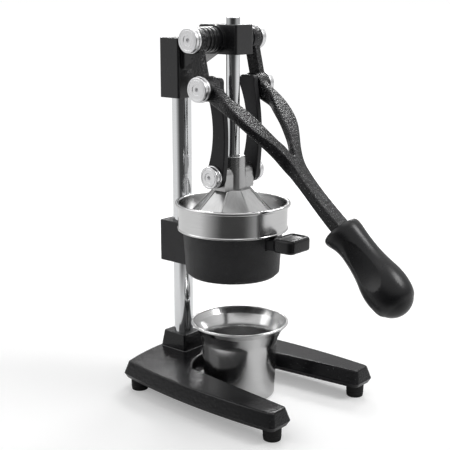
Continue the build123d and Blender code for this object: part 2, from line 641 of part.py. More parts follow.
with BuildPart() as lever_casting:
    with BuildSketch(FORK_SIDE):
        with BuildLine():
            Spline(*FORK_UPPER)
            Line(FORK_UPPER[-1], FORK_LOWER[-1])
            Spline(*FORK_LOWER)
            Line(FORK_UPPER[0], FORK_LOWER[0])
        make_face()
    extrude(amount=HALF_SPAN, both=True)
    with BuildSketch(FORK_DRAW_PLAN):
        with BuildLine():
            Spline(*FORK_OUTER, tangents=[(1, 0), (1, -0.06)])
            Line(FORK_OUTER[-1], (SHAFT_TIP, SHAFT_HALF))
            Line((SHAFT_TIP, SHAFT_HALF), (SHAFT_TIP, 0))
            Line((SHAFT_TIP, 0), FORK_INNER[-1])
            Spline(*FORK_INNER, tangents=[(1, 0), (0, -1)])
            Line(FORK_INNER[0], FORK_OUTER[0])
        make_face()
        mirror(about=Plane.XZ)
    extrude(amount=2 * HALF_SPAN * FORK_DRAW.length, dir=FORK_DRAW, mode=Mode.INTERSECT)
    long_edges = lever_casting.edges().filter_by(lambda e: e.length > LONG_EDGE)
    fillet(long_edges, FORK_EDGE_R)
    for side in SIDES:
        with BuildSketch(side_slab(side, HUB_IN, HUB_OUT)):
            with Locations((MIDDLE_X, MIDDLE_Z)):
                Circle(EYE_R)
        extrude(amount=HUB_OUT - HUB_IN)
        with BuildSketch(side_slab(side, CRANK_IN, HUB_OUT)):
            with Locations((UPPER_X, UPPER_Z)):
                Circle(EYE_R)
            with BuildLine():
                Polyline(
                    (UPPER_X - CRANK_HALF, UPPER_Z),
                    (UPPER_X + CRANK_HALF, UPPER_Z),
                    (MIDDLE_X + CRANK_HALF, MIDDLE_Z),
                    (MIDDLE_X - CRANK_HALF, MIDDLE_Z),
                    close=True,
                )
            make_face()
        extrude(amount=CRANK_T)
        with BuildSketch(side_slab(side, CRANK_IN, HUB_OUT)):
            with Locations((UPPER_X, UPPER_Z)):
                Circle(PIN_D / 2 + RUN_FIT)
        extrude(amount=CRANK_T, mode=Mode.SUBTRACT)
        with BuildSketch(side_slab(side, HUB_IN, HUB_OUT)):
            with Locations((MIDDLE_X, MIDDLE_Z)):
                Circle(PIN_D / 2 + SNUG_FIT)
        extrude(amount=HUB_OUT - HUB_IN, mode=Mode.SUBTRACT)
    tang_root = FORK_PLAN.from_local_coords((SHAFT_END - TANG_ROOT, 0, GRIP_RISE))
    with BuildSketch(Plane(tang_root, z_dir=ALONG)):
        Circle(TANG_D / 2)
    extrude(amount=TANG_LENGTH + TANG_ROOT)


def grip_point(along, across, rise):
    """Point given from the middle of the grip collar."""
    return FORK_PLAN.from_local_coords((SHAFT_END + along, across, GRIP_RISE + rise))


END_SHARE, END_R, END_RISE = GRIP_SECTIONS[-1]
END_U = END_SHARE * GRIP_LENGTH
CROWN_U = (GRIP_LENGTH**2 - END_U**2 - END_R**2) / (2 * (GRIP_LENGTH - END_U))
CROWN_SWEEP = math.degrees(math.atan2(END_R, END_U - CROWN_U))

with BuildPart() as lever_grip:
    for share, radius, rise in GRIP_SECTIONS:
        with BuildSketch(Plane(grip_point(share * GRIP_LENGTH, 0, rise), z_dir=ALONG)):
            Circle(radius)
    loft()
    with BuildSketch(FORK_SIDE):
        with BuildLine():
            crown_z = GRIP_RISE + END_RISE
            CenterArc((SHAFT_END + CROWN_U, crown_z), GRIP_LENGTH - CROWN_U, 0, CROWN_SWEEP)
            Line((SHAFT_END + END_U, crown_z + END_R), (SHAFT_END + END_U, crown_z))
            Line((SHAFT_END + END_U, crown_z), (SHAFT_END + GRIP_LENGTH, crown_z))
        make_face()
    revolve(axis=Axis(grip_point(END_U, 0, END_RISE), ALONG))
    with BuildSketch(Plane(grip_point(0, 0, 0), z_dir=ALONG)):
        Circle(TANG_D / 2 + SNUG_FIT)
    extrude(amount=TANG_LENGTH + OVERRUN, mode=Mode.SUBTRACT)
    scoop_reach = SCOOP_FLOOR_R + SCOOP_R
    tilt = math.radians(SCOOP_TILT)
    scoop_out = scoop_reach * math.cos(tilt)
    scoop_rise = scoop_reach * math.sin(tilt)
    for side in SIDES:
        with Locations(grip_point(SCOOP_AT, side * scoop_out, scoop_rise)):
            Sphere(SCOOP_R, mode=Mode.SUBTRACT)

with BuildPart() as middle_pivot_washers:
    for side in SIDES:
        with BuildSketch(turning_plane(side, MIDDLE_X, MIDDLE_Z)):
            with BuildLine():
                rim_r = CAP_D / 2 + PIVOT_WASHER_EXTRA
                Polyline(*washer_points(HUB_OUT, rim_r), close=True)
            make_face()
        revolve(axis=cross_axis(MIDDLE_X, MIDDLE_Z))

with BuildPart() as middle_pivot_bolts:
    for side in SIDES:
        with BuildSketch(turning_plane(side, MIDDLE_X, MIDDLE_Z)):
            with BuildLine():
                Polyline(*bolt_points(MIDDLE_BOLT_SEAT, HUB_IN, CAP_D / 2), close=True)
            make_face()
        revolve(axis=cross_axis(MIDDLE_X, MIDDLE_Z))

# Links: bowed plates, square above and round below, from the middle pivots to the plunger
WAIST_X = (MIDDLE_X + LOWER_X) / 2 + LINK_BOW
WAIST_Z = (MIDDLE_Z + LOWER_Z) / 2
LINK_TOP = MIDDLE_Z + LINK_HEAD_RISE


def link_plate(side):
    """One link plate with a blind upper bore and a running lower bore."""
    with BuildPart() as plate:
        with BuildSketch(side_slab(side, LINK_IN, LINK_OUT)) as plate_outline:
            with BuildLine():
                ThreePointArc(
                    (MIDDLE_X - LINK_HEAD_HALF, MIDDLE_Z),
                    (WAIST_X - LINK_WAIST / 2, WAIST_Z),
                    (LOWER_X - LINK_EYE_R, LOWER_Z),
                )
                Line((LOWER_X - LINK_EYE_R, LOWER_Z), (LOWER_X + LINK_EYE_R, LOWER_Z))
                ThreePointArc(
                    (LOWER_X + LINK_EYE_R, LOWER_Z),
                    (WAIST_X + LINK_WAIST / 2, WAIST_Z),
                    (MIDDLE_X + LINK_HEAD_HALF, MIDDLE_Z),
                )
                Polyline(
                    (MIDDLE_X + LINK_HEAD_HALF, MIDDLE_Z),
                    (MIDDLE_X + LINK_HEAD_HALF, LINK_TOP),
                    (MIDDLE_X - LINK_HEAD_HALF, LINK_TOP),
                    (MIDDLE_X - LINK_HEAD_HALF, MIDDLE_Z),
                )
            make_face()
            with Locations((LOWER_X, LOWER_Z)):
                Circle(LINK_EYE_R)
            fillet(plate_outline.vertices().filter_by(lambda v: v.Y < WAIST_Z), LINK_EYE_R / 2)
            fillet(plate_outline.vertices().group_by(Axis.Y)[-1], LINK_HEAD_R)
        extrude(amount=LINK_T)
        chamfer(plate.faces().filter_by(Axis.Y).edges(), LINK_EDGE)
        with BuildSketch(side_slab(side, LINK_IN, LINK_OUT)):
            with Locations((LOWER_X, LOWER_Z)):
                Circle(PIN_D / 2 + RUN_FIT)
        extrude(amount=LINK_T, mode=Mode.SUBTRACT)
        with BuildSketch(side_slab(side, LINK_PIN_IN, LINK_OUT)):
            with Locations((MIDDLE_X, MIDDLE_Z)):
                Circle(PIN_D / 2 + SNUG_FIT)
        extrude(amount=LINK_PIN_DEPTH, mode=Mode.SUBTRACT)
    return plate


link_right = link_plate(-1)
link_left = link_plate(1)

with BuildPart() as link_upper_pins:
    for side in SIDES:
        with BuildSketch(side_slab(side, LINK_PIN_IN, LINK_OUT + SIDE_PLAY)):
            with Locations((MIDDLE_X, MIDDLE_Z)):
                Circle(PIN_D / 2)
        extrude(amount=LINK_PIN_DEPTH + SIDE_PLAY)

# Plunger: guide rod, eared yoke, faceted bell and the screw that joins them
PRESS_LINE = Axis((AXIS_X, 0, 0), (0, 0, 1))

with BuildPart() as plunger_rod:
    with BuildSketch(Plane.XY.offset(ROD_FOOT)):
        with Locations((AXIS_X, 0)):
            Circle(ROD_D / 2)
    extrude(amount=ROD_TOP - ROD_FOOT)
    chamfer(plunger_rod.edges().group_by(Axis.Z)[-1], ROD_EDGE)
    with BuildSketch(Plane.XY.offset(ROD_FOOT)):
        with Locations((AXIS_X, 0)):
            Circle(BELL_SCREW_D / 2 + SNUG_FIT)
    extrude(amount=BELL_SCREW_BITE + OVERRUN, mode=Mode.SUBTRACT)

with BuildPart() as plunger_yoke:
    with BuildSketch(Plane.XY.offset(YOKE_UNDER)):
        with Locations((AXIS_X, 0)):
            Circle(SLEEVE_D / 2)
    extrude(amount=SLEEVE_TOP - YOKE_UNDER)
    fillet(plunger_yoke.edges().group_by(Axis.Z)[-1], SLEEVE_EDGE_R)
    for side in SIDES:
        with BuildSketch(side_slab(side, EAR_IN, EAR_OUT)):
            with Locations((LOWER_X, LOWER_Z)):
                Circle(EAR_R)
            with BuildLine():
                Polyline(
                    (LOWER_X - EAR_R, LOWER_Z),
                    (LOWER_X + EAR_R, LOWER_Z),
                    (LOWER_X + EAR_R, YOKE_UNDER),
                    (LOWER_X - EAR_R, YOKE_UNDER),
                    close=True,
                )
            make_face()
        extrude(amount=EAR_OUT - EAR_IN)
        with BuildSketch(side_slab(side, EAR_IN, EAR_OUT)):
            with Locations((LOWER_X, LOWER_Z)):
                Circle(PIN_D / 2 + SNUG_FIT)
        extrude(amount=EAR_OUT - EAR_IN, mode=Mode.SUBTRACT)
    with BuildSketch(Plane.XY.offset(ROD_FOOT)):
        with Locations((AXIS_X, 0)):
            Circle(ROD_D / 2 + SNUG_FIT)
    extrude(amount=SLEEVE_TOP - ROD_FOOT, mode=Mode.SUBTRACT)
    with BuildSketch(Plane.XY.offset(YOKE_UNDER)):
        with Locations((AXIS_X, 0)):
            Circle(BELL_SCREW_D / 2 + SNUG_FIT)
    extrude(amount=YOKE_WEB, mode=Mode.SUBTRACT)

with BuildPart() as lower_pivot_washers:
    for side in SIDES:
        with BuildSketch(turning_plane(side, LOWER_X, LOWER_Z)):
            with BuildLine():
                rim_r = LOWER_CAP_D / 2 + PIVOT_WASHER_EXTRA
                Polyline(*washer_points(LOWER_WASHER_SEAT, rim_r), close=True)
            make_face()
        revolve(axis=cross_axis(LOWER_X, LOWER_Z))

with BuildPart() as lower_pivot_bolts:
    for side in SIDES:
        with BuildSketch(turning_plane(side, LOWER_X, LOWER_Z)):
            with BuildLine():
                Polyline(*bolt_points(LOWER_BOLT_SEAT, PIN_TIP, LOWER_CAP_D / 2), close=True)
            make_face()
        revolve(axis=cross_axis(LOWER_X, LOWER_Z))

with BuildPart() as press_bell:
    for level, flat in ((BELL_UNDER, BELL_UNDER_FLAT), (YOKE_UNDER, BELL_TOP_FLAT)):
        with BuildSketch(Plane((AXIS_X, 0, level))):
            RegularPolygon(flat * FLAT_TO_CORNER, BELL_SIDES, rotation=HALF_FACET)
    loft(ruled=True)
    with BuildSketch(Plane.XZ):
        with BuildLine():
            Polyline(
                (AXIS_X, BELL_UNDER),
                (AXIS_X + BELL_UNDER_FLAT - BELL_LIP, BELL_UNDER),
                (AXIS_X + BELL_HOLLOW_TOP_R, YOKE_UNDER - BELL_CROWN),
                (AXIS_X, YOKE_UNDER - BELL_CROWN),
                close=True,
            )
        make_face()
    revolve(axis=PRESS_LINE, mode=Mode.SUBTRACT)
    with BuildSketch(Plane.XY.offset(YOKE_UNDER - BELL_CROWN)):
        with Locations((AXIS_X, 0)):
            Circle(BELL_SCREW_D / 2 + SNUG_FIT)
    extrude(amount=BELL_CROWN, mode=Mode.SUBTRACT)

with BuildPart() as bell_screw:
    with BuildSketch(Plane.XY.offset(BELL_SCREW_SEAT - BELL_SCREW_HEAD_H)):
        with Locations((AXIS_X, 0)):
            Circle(BELL_SCREW_HEAD_D / 2)
    extrude(amount=BELL_SCREW_HEAD_H)
    fillet(bell_screw.edges().group_by(Axis.Z)[0], BELL_SCREW_ROUND)
    with BuildSketch(Plane.XY.offset(BELL_SCREW_SEAT)):
        with Locations((AXIS_X, 0)):
            Circle(BELL_SCREW_D / 2)
    extrude(amount=BELL_CROWN + YOKE_WEB + BELL_SCREW_BITE)

# Bowl holder: tapered cup with a drain, a handle slot and a bracket on the column
with BuildPart() as holder_casting:
    with BuildSketch(Plane((COLUMN_X, 0, BRACKET_UNDER))) as bracket_outline:
        with Locations(((COLUMN_OFFSET - BRACKET_BACK) / 2, 0)):
            Rectangle(COLUMN_OFFSET + BRACKET_BACK, 2 * BRACKET_HALF)
        fillet(bracket_outline.vertices(), BRACKET_CORNER_R)
    extrude(amount=BRACKET_TOP - BRACKET_UNDER)
    fillet(holder_casting.faces().sort_by(Axis.Z)[-1].edges(), BRACKET_EDGE_R)
    with BuildSketch(Plane.XZ):
        with BuildLine():
            Polyline(
                (AXIS_X, HOLDER_UNDER),
                (AXIS_X + HOLDER_UNDER_R - HOLDER_ROUND, HOLDER_UNDER),
                (AXIS_X + HOLDER_UNDER_R, HOLDER_UNDER + HOLDER_ROUND),
                (AXIS_X + HOLDER_TOP_R, HOLDER_TOP),
                (AXIS_X, HOLDER_TOP),
                close=True,
            )
        make_face()
    revolve(axis=PRESS_LINE)
    with BuildSketch(Plane.XY.offset(HOLDER_UNDER + HOLDER_FLOOR)):
        with Locations((AXIS_X, 0)):
            Circle(HOLDER_BORE_R)
    extrude(amount=HOLDER_TOP - HOLDER_UNDER, mode=Mode.SUBTRACT)
    with BuildSketch(Plane.XY.offset(HOLDER_UNDER)):
        with Locations((AXIS_X, 0)):
            Circle(HOLDER_DRAIN_R)
    extrude(amount=HOLDER_FLOOR, mode=Mode.SUBTRACT)
    with BuildSketch(Plane.XY.offset(BRACKET_UNDER)):
        with Locations((COLUMN_X, 0)):
            Circle(COLUMN_D / 2 + SNUG_FIT)
    extrude(amount=HOLDER_TOP - BRACKET_UNDER, mode=Mode.SUBTRACT)
    with BuildSketch(Plane.XY.offset(SLOT_UNDER)):
        with Locations((AXIS_X + HOLDER_TOP_R, 0)):
            Rectangle(HOLDER_TOP_R / 2, 2 * SLOT_HALF)
    extrude(amount=SLOT_DEPTH, mode=Mode.SUBTRACT)
    with BuildSketch(Plane((COLUMN_X - BRACKET_BACK, 0, HOLDER_SCREW_Z), z_dir=(1, 0, 0))):
        Circle(HOLDER_SCREW_D / 2 + SNUG_FIT)
    extrude(amount=BRACKET_BACK, mode=Mode.SUBTRACT)

SET_SCREW_PLANE = Plane((COLUMN_X - BRACKET_BACK + SCREW_SINK, 0, HOLDER_SCREW_Z), z_dir=(1, 0, 0))

with BuildPart() as holder_set_screw:
    with BuildSketch(SET_SCREW_PLANE):
        Circle(HOLDER_SCREW_D / 2)
    extrude(amount=BRACKET_BACK - SCREW_SINK - COLUMN_D / 2)
    with BuildSketch(SET_SCREW_PLANE):
        RegularPolygon(HOLDER_SCREW_D / 4, SOCKET_SIDES)
    extrude(amount=SOCKET_DEPTH, mode=Mode.SUBTRACT)

# Strainer bowl: rolled rim, band, ledge on the holder, well, funnel and spout
with BuildPart() as strainer_bowl:
    with BuildSketch(Plane.XZ):
        with BuildLine():
            Polyline(
                (AXIS_X + BAND_R, BEAD_Z),
                (AXIS_X + BAND_R, HOLDER_TOP + BAND_ROUND),
                (AXIS_X + BAND_R - BAND_ROUND, HOLDER_TOP),
                (AXIS_X + WELL_R, HOLDER_TOP),
                (AXIS_X + WELL_R, WELL_UNDER),
                (AXIS_X + SPOUT_R, SPOUT_TOP),
                (AXIS_X + SPOUT_R, SPOUT_END),
                (AXIS_X + SPOUT_R - SHEET, SPOUT_END),
                (AXIS_X + SPOUT_R - SHEET, SPOUT_TOP + SHEET),
                (AXIS_X + WELL_R - SHEET, WELL_UNDER + SHEET),
                (AXIS_X + WELL_R - SHEET, LEDGE_TOP),
                (AXIS_X + BAND_R - SHEET - BAND_ROUND, LEDGE_TOP),
                (AXIS_X + BAND_R - SHEET, LEDGE_TOP + BAND_ROUND),
                (AXIS_X + BAND_R - SHEET, BEAD_Z),
                close=True,
            )
        make_face()
        with Locations((AXIS_X + RIM_R - BEAD_R, BEAD_Z)):
            Circle(BEAD_R)
        with Locations((AXIS_X + (BAND_R + RIM_R - BEAD_R - SHEET) / 2, BEAD_Z)):
            Rectangle(RIM_R - BEAD_R - BAND_R + SHEET, SHEET)
    revolve(axis=PRESS_LINE)

with BuildPart() as strainer_cone:
    with BuildSketch(Plane.XZ):
        with BuildLine():
            Polyline(
                (AXIS_X, CONE_TOP),
                (AXIS_X + CONE_TOP_R, CONE_TOP),
                (AXIS_X + CONE_R + CONE_SHEET, LEDGE_TOP + CONE_SHEET),
                (AXIS_X + CONE_FLANGE_R, LEDGE_TOP + CONE_SHEET),
                (AXIS_X + CONE_FLANGE_R, LEDGE_TOP),
                (AXIS_X + CONE_R - CONE_SHEET, LEDGE_TOP),
                (AXIS_X + CONE_TOP_R - CONE_SHEET, CONE_TOP - CONE_SHEET),
                (AXIS_X, CONE_TOP - CONE_SHEET),
                close=True,
            )
        make_face()
    revolve(axis=PRESS_LINE)
    with BuildSketch(Plane((AXIS_X, 0, WELL_UNDER))):
        for share in HOLE_RINGS:
            ring_r = share * CONE_R
            with PolarLocations(ring_r, int(2 * math.pi * ring_r / HOLE_PITCH)):
                Circle(HOLE_R)
    extrude(amount=CONE_TOP - WELL_UNDER + OVERRUN, mode=Mode.SUBTRACT)

# Bowl handle: painted strap through the holder slot, plastic grip and its screw
with BuildPart() as handle_strap:
    with BuildSketch(Plane((AXIS_X, 0, STRAP_Z - STRAP_T / 2))):
        with Locations(((WELL_R - STRAP_ROOT + STRAP_END) / 2, 0)):
            Rectangle(STRAP_END - WELL_R + STRAP_ROOT, 2 * STRAP_HALF)
        Circle(WELL_R, mode=Mode.SUBTRACT)
        with Locations((HANDLE_BACK + HANDLE_SCREW_IN, 0)):
            Circle(HANDLE_SCREW_D / 2 + SNUG_FIT, mode=Mode.SUBTRACT)
    extrude(amount=STRAP_T)

with BuildPart() as bowl_handle_grip:
    with BuildSketch(Plane((AXIS_X, 0, HANDLE_UNDER))) as grip_outline:
        with Locations(((HANDLE_BACK + HANDLE_FRONT) / 2, 0)):
            Rectangle(HANDLE_LENGTH, 2 * HANDLE_HALF)
        fillet(grip_outline.vertices(), HANDLE_CORNER_R)
    extrude(amount=HANDLE_TOP - HANDLE_UNDER)
    fillet(bowl_handle_grip.faces().sort_by(Axis.Z)[-1].edges(), HANDLE_TOP_R)
    fillet(bowl_handle_grip.faces().sort_by(Axis.Z)[0].edges(), HANDLE_UNDER_R)
    with BuildSketch(Plane((AXIS_X, 0, STRAP_Z - STRAP_T / 2))):
        with Locations(((HANDLE_BACK + STRAP_END) / 2, 0)):
            Rectangle(STRAP_END - HANDLE_BACK, 2 * STRAP_HALF)
    extrude(amount=STRAP_T, mode=Mode.SUBTRACT)
    with BuildSketch(Plane((HANDLE_SCREW_X, 0, HANDLE_UNDER))):
        Circle(HANDLE_SCREW_D / 2 + SNUG_FIT)
    extrude(amount=STRAP_Z - HANDLE_UNDER, mode=Mode.SUBTRACT)
    with BuildSketch(Plane((HANDLE_SCREW_X, 0, HANDLE_UNDER))):
        Circle(HANDLE_SCREW_HEAD_D / 2 + SIDE_PLAY)
    extrude(amount=HANDLE_SCREW_HEAD_H, mode=Mode.SUBTRACT)

with BuildPart() as handle_screw:
    with BuildSketch(Plane((HANDLE_SCREW_X, 0, HANDLE_UNDER))):
        Circle(HANDLE_SCREW_HEAD_D / 2)
    extrude(amount=HANDLE_SCREW_HEAD_H)
    with BuildSketch(Plane((HANDLE_SCREW_X, 0, HANDLE_UNDER + HANDLE_SCREW_HEAD_H))):
        Circle(HANDLE_SCREW_D / 2)
    extrude(amount=STRAP_Z + STRAP_T / 2 - HANDLE_UNDER - HANDLE_SCREW_HEAD_H)

# Collecting cup: flat bottom, slightly widening wall, flared mouth with a rolled lip
with BuildPart() as collecting_cup:
    with BuildSketch(Plane.XZ):
        with BuildLine():
            Polyline(
                (CUP_LINE_X, 0),
                (CUP_LINE_X + CUP_UNDER_R - CUP_ROUND, 0),
                (CUP_LINE_X + CUP_UNDER_R, CUP_ROUND),
                (CUP_LINE_X + CUP_NECK_R, CUP_NECK_Z),
                (CUP_LINE_X + CUP_RIM_R - CUP_LIP_R, CUP_TOP - CUP_LIP_R),
                (CUP_LINE_X + CUP_RIM_R - CUP_LIP_R - CUP_SHEET, CUP_TOP - CUP_LIP_R),
                (CUP_LINE_X + CUP_NECK_R - CUP_SHEET, CUP_NECK_Z + CUP_SHEET / 2),
                (CUP_LINE_X + CUP_UNDER_R - CUP_SHEET, CUP_ROUND + CUP_SHEET / 2),
                (CUP_LINE_X + CUP_UNDER_R - CUP_ROUND - CUP_SHEET / 2, CUP_SHEET),
                (CUP_LINE_X, CUP_SHEET),
                close=True,
            )
        make_face()
        with Locations((CUP_LINE_X + CUP_RIM_R - CUP_LIP_R, CUP_TOP - CUP_LIP_R)):
            Circle(CUP_LIP_R)
    revolve(axis=Axis((CUP_LINE_X, 0, 0), (0, 0, 1)))

PIECES = {
    "base_casting": base_casting,
    "rubber_feet": rubber_feet,
    "foot_screws": foot_screws,
    "column": column,
    "column_washer": column_washer,
    "column_bolt": column_bolt,
    "head_casting": head_casting,
    "head_screw": head_screw,
    "upper_spacer_bushes": upper_spacer_bushes,
    "upper_pivot_washers": upper_pivot_washers,
    "upper_pivot_bolts": upper_pivot_bolts,
    "lever_casting": lever_casting,
    "lever_grip": lever_grip,
    "middle_pivot_washers": middle_pivot_washers,
    "middle_pivot_bolts": middle_pivot_bolts,
    "link_right": link_right,
    "link_left": link_left,
    "link_upper_pins": link_upper_pins,
    "plunger_rod": plunger_rod,
    "plunger_yoke": plunger_yoke,
    "lower_pivot_washers": lower_pivot_washers,
    "lower_pivot_bolts": lower_pivot_bolts,
    "press_bell": press_bell,
    "bell_screw": bell_screw,
    "holder_casting": holder_casting,
    "holder_set_screw": holder_set_screw,
    "strainer_bowl": strainer_bowl,
    "strainer_cone": strainer_cone,
    "handle_strap": handle_strap,
    "bowl_handle_grip": bowl_handle_grip,
    "handle_screw": handle_screw,
    "collecting_cup": collecting_cup,
}

for name, piece in PIECES.items():
    piece.part.label = name
    export_step(piece.part, f"parts/{name}.step")
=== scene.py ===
"""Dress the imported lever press: castings, turned hardware, strainer bowl, cup and studio."""

import json
import logging
import math
from collections.abc import Sequence
from dataclasses import dataclass, replace
from enum import Enum

import bmesh
import bpy
from mathutils import Matrix, Vector

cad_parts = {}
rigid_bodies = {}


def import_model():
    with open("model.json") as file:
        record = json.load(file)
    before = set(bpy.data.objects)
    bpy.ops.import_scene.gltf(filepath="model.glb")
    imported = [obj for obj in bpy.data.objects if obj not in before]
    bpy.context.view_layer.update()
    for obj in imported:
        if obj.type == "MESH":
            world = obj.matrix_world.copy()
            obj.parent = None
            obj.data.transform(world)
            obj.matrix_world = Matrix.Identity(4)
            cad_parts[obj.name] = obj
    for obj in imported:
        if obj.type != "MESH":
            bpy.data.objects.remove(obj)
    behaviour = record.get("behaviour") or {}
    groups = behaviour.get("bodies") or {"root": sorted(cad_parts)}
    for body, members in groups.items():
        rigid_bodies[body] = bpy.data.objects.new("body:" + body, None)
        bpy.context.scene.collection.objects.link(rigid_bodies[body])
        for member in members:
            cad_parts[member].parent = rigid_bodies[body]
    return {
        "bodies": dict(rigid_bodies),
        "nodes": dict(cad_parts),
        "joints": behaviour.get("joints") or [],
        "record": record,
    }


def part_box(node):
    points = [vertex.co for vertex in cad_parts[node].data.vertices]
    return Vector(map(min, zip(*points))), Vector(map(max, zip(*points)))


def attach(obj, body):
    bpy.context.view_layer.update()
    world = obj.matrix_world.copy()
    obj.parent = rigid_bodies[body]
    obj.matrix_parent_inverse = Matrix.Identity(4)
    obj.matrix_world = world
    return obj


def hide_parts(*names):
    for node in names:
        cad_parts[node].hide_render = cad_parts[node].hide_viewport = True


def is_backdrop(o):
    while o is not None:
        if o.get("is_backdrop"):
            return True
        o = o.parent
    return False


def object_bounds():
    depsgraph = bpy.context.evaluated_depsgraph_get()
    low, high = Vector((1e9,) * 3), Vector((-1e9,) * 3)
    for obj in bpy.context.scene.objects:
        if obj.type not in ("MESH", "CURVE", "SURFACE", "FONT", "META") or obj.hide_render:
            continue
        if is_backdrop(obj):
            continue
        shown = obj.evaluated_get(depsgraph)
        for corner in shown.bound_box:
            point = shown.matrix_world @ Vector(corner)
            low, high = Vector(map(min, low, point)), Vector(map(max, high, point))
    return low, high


LOG = logging.getLogger("press")
MM = 0.001
FULL_TURN = 2.0 * math.pi
QUARTER_TURN = math.pi / 2
MERGE_GAP = 2e-6
POLE_R = 1e-9
CORNER_LIMIT = 0.48
TUBE_SIDES = 10
SOCKET_SIDES = 6
FLAT_ANGLE = math.radians(0.3)
EASED_ANGLE = math.radians(34.0)
SMOOTH_ANGLE = math.radians(32.0)
FACET_ANGLE = math.radians(24.0)
FACE_WEIGHT = 80
WHITE = (1.0, 1.0, 1.0, 1.0)

Pair = tuple[float, float]
Triple = tuple[float, float, float]
Socket = bpy.types.NodeSocket
Ring = list[bmesh.types.BMVert]


class Body(Enum):
    """Bodies that the pieces ride on."""

    FRAME = "frame"
    LEVER = "lever"
    PLUNGER = "plunger"
    LINKS = "links"
    CUP = "cup"


class Line(Enum):
    """Direction of a turning line."""

    UP = "up"
    ACROSS = "across"


class Graph:
    """Adds and joins nodes in one node tree."""

    def __init__(self, tree: bpy.types.NodeTree) -> None:
        """Keep the tree that receives the nodes."""
        self.tree = tree

    def add(self, kind: str, feeds: dict | None = None, **settings: object) -> bpy.types.Node:
        """Add a node, set its properties and feed its inputs.

        Args:
            kind: Blender's name of the node type.
            feeds: Input names or places with a constant or an output socket for each.
            settings: Properties of the node itself.

        Returns:
            The new node.
        """
        made = self.tree.nodes.new(kind)
        for key, value in settings.items():
            setattr(made, key, value)
        for key, value in (feeds or {}).items():
            if isinstance(value, Socket):
                self.tree.links.new(value, made.inputs[key])
            else:
                made.inputs[key].default_value = value
        return made

    def sum(self, kind: str, first: object, second: object = 0.0) -> Socket:
        """Return the result of one Math node on two values or sockets."""
        return self.add("ShaderNodeMath", {0: first, 1: second}, operation=kind).outputs[0]

    def vector(self, kind: str, first: object, second: object = (0.0, 0.0, 0.0)) -> bpy.types.Node:
        """Return one Vector Math node on two vectors or sockets."""
        return self.add("ShaderNodeVectorMath", {0: first, 1: second}, operation=kind)

    def noise(
        self,
        place: Socket,
        scale: object,
        detail: float,
        roughness: float = 0.5,
        distortion: float = 0.0,
    ) -> bpy.types.Node:
        """Add a Noise Texture node.

        Args:
            place: Vector that it reads.
            scale: Number or socket for the scale.
            detail: Octaves of finer noise.
            roughness: Weight of the finer noise.
            distortion: How far the noise is pulled about.

        Returns:
            The new node.
        """
        feeds = {"Vector": place, "Scale": scale, "Detail": detail}
        feeds |= {"Roughness": roughness, "Distortion": distortion}
        return self.add("ShaderNodeTexNoise", feeds)

    def mix(self, share: object, first: object, second: object) -> Socket:
        """Return a value between two others."""
        feeds = {0: share, 2: first, 3: second}
        return self.add("ShaderNodeMix", feeds, data_type="FLOAT").outputs[0]

    def weigh(self, share: float, first: Socket, second: Socket) -> Socket:
        """Return a sum of two values with fixed shares."""
        heavy, light = (first, share), (second, 1.0 - share)
        return self.sum("ADD", self.sum("MULTIPLY", *heavy), self.sum("MULTIPLY", *light))

    def span(
        self, value: object, low: float, high: float, start: float = 0.0, end: float = 1.0
    ) -> Socket:
        """Return a value spread from one range to another.

        Args:
            value: Socket or number to spread.
            low: Result at the start of the range.
            high: Result at the end of the range.
            start: Start of the incoming range.
            end: End of the incoming range.

        Returns:
            The output socket of a Map Range node.
        """
        feeds = {"Value": value, "From Min": start, "From Max": end, "To Min": low, "To Max": high}
        return self.add("ShaderNodeMapRange", feeds).outputs[0]


def new_group(
    kind: str, name: str, inputs: dict[str, str], outputs: dict[str, str]
) -> tuple[Graph, bpy.types.NodeOutputs]:
    """Start a node group with named sockets.

    Args:
        kind: Blender's name of the tree type.
        name: Name of the group.
        inputs: Socket type of each named input.
        outputs: Socket type of each named output.

    Returns:
        The graph and the sockets of its inputs.
    """
    tree = bpy.data.node_groups.new(name, kind)
    for way, sockets in (("INPUT", inputs), ("OUTPUT", outputs)):
        for label, socket in sockets.items():
            socket_type = "NodeSocket" + socket
            tree.interface.new_socket(name=label, in_out=way, socket_type=socket_type)
    graph = Graph(tree)
    return graph, graph.add("NodeGroupInput").outputs


def shader_group(
    name: str, values: Sequence[str], outputs: Sequence[str]
) -> tuple[Graph, bpy.types.NodeOutputs]:
    """Start a shader group with a Vector input and named values."""
    inputs = {"Vector": "Vector", **dict.fromkeys(values, "Float")}
    return new_group("ShaderNodeTree", name, inputs, dict.fromkeys(outputs, "Float"))


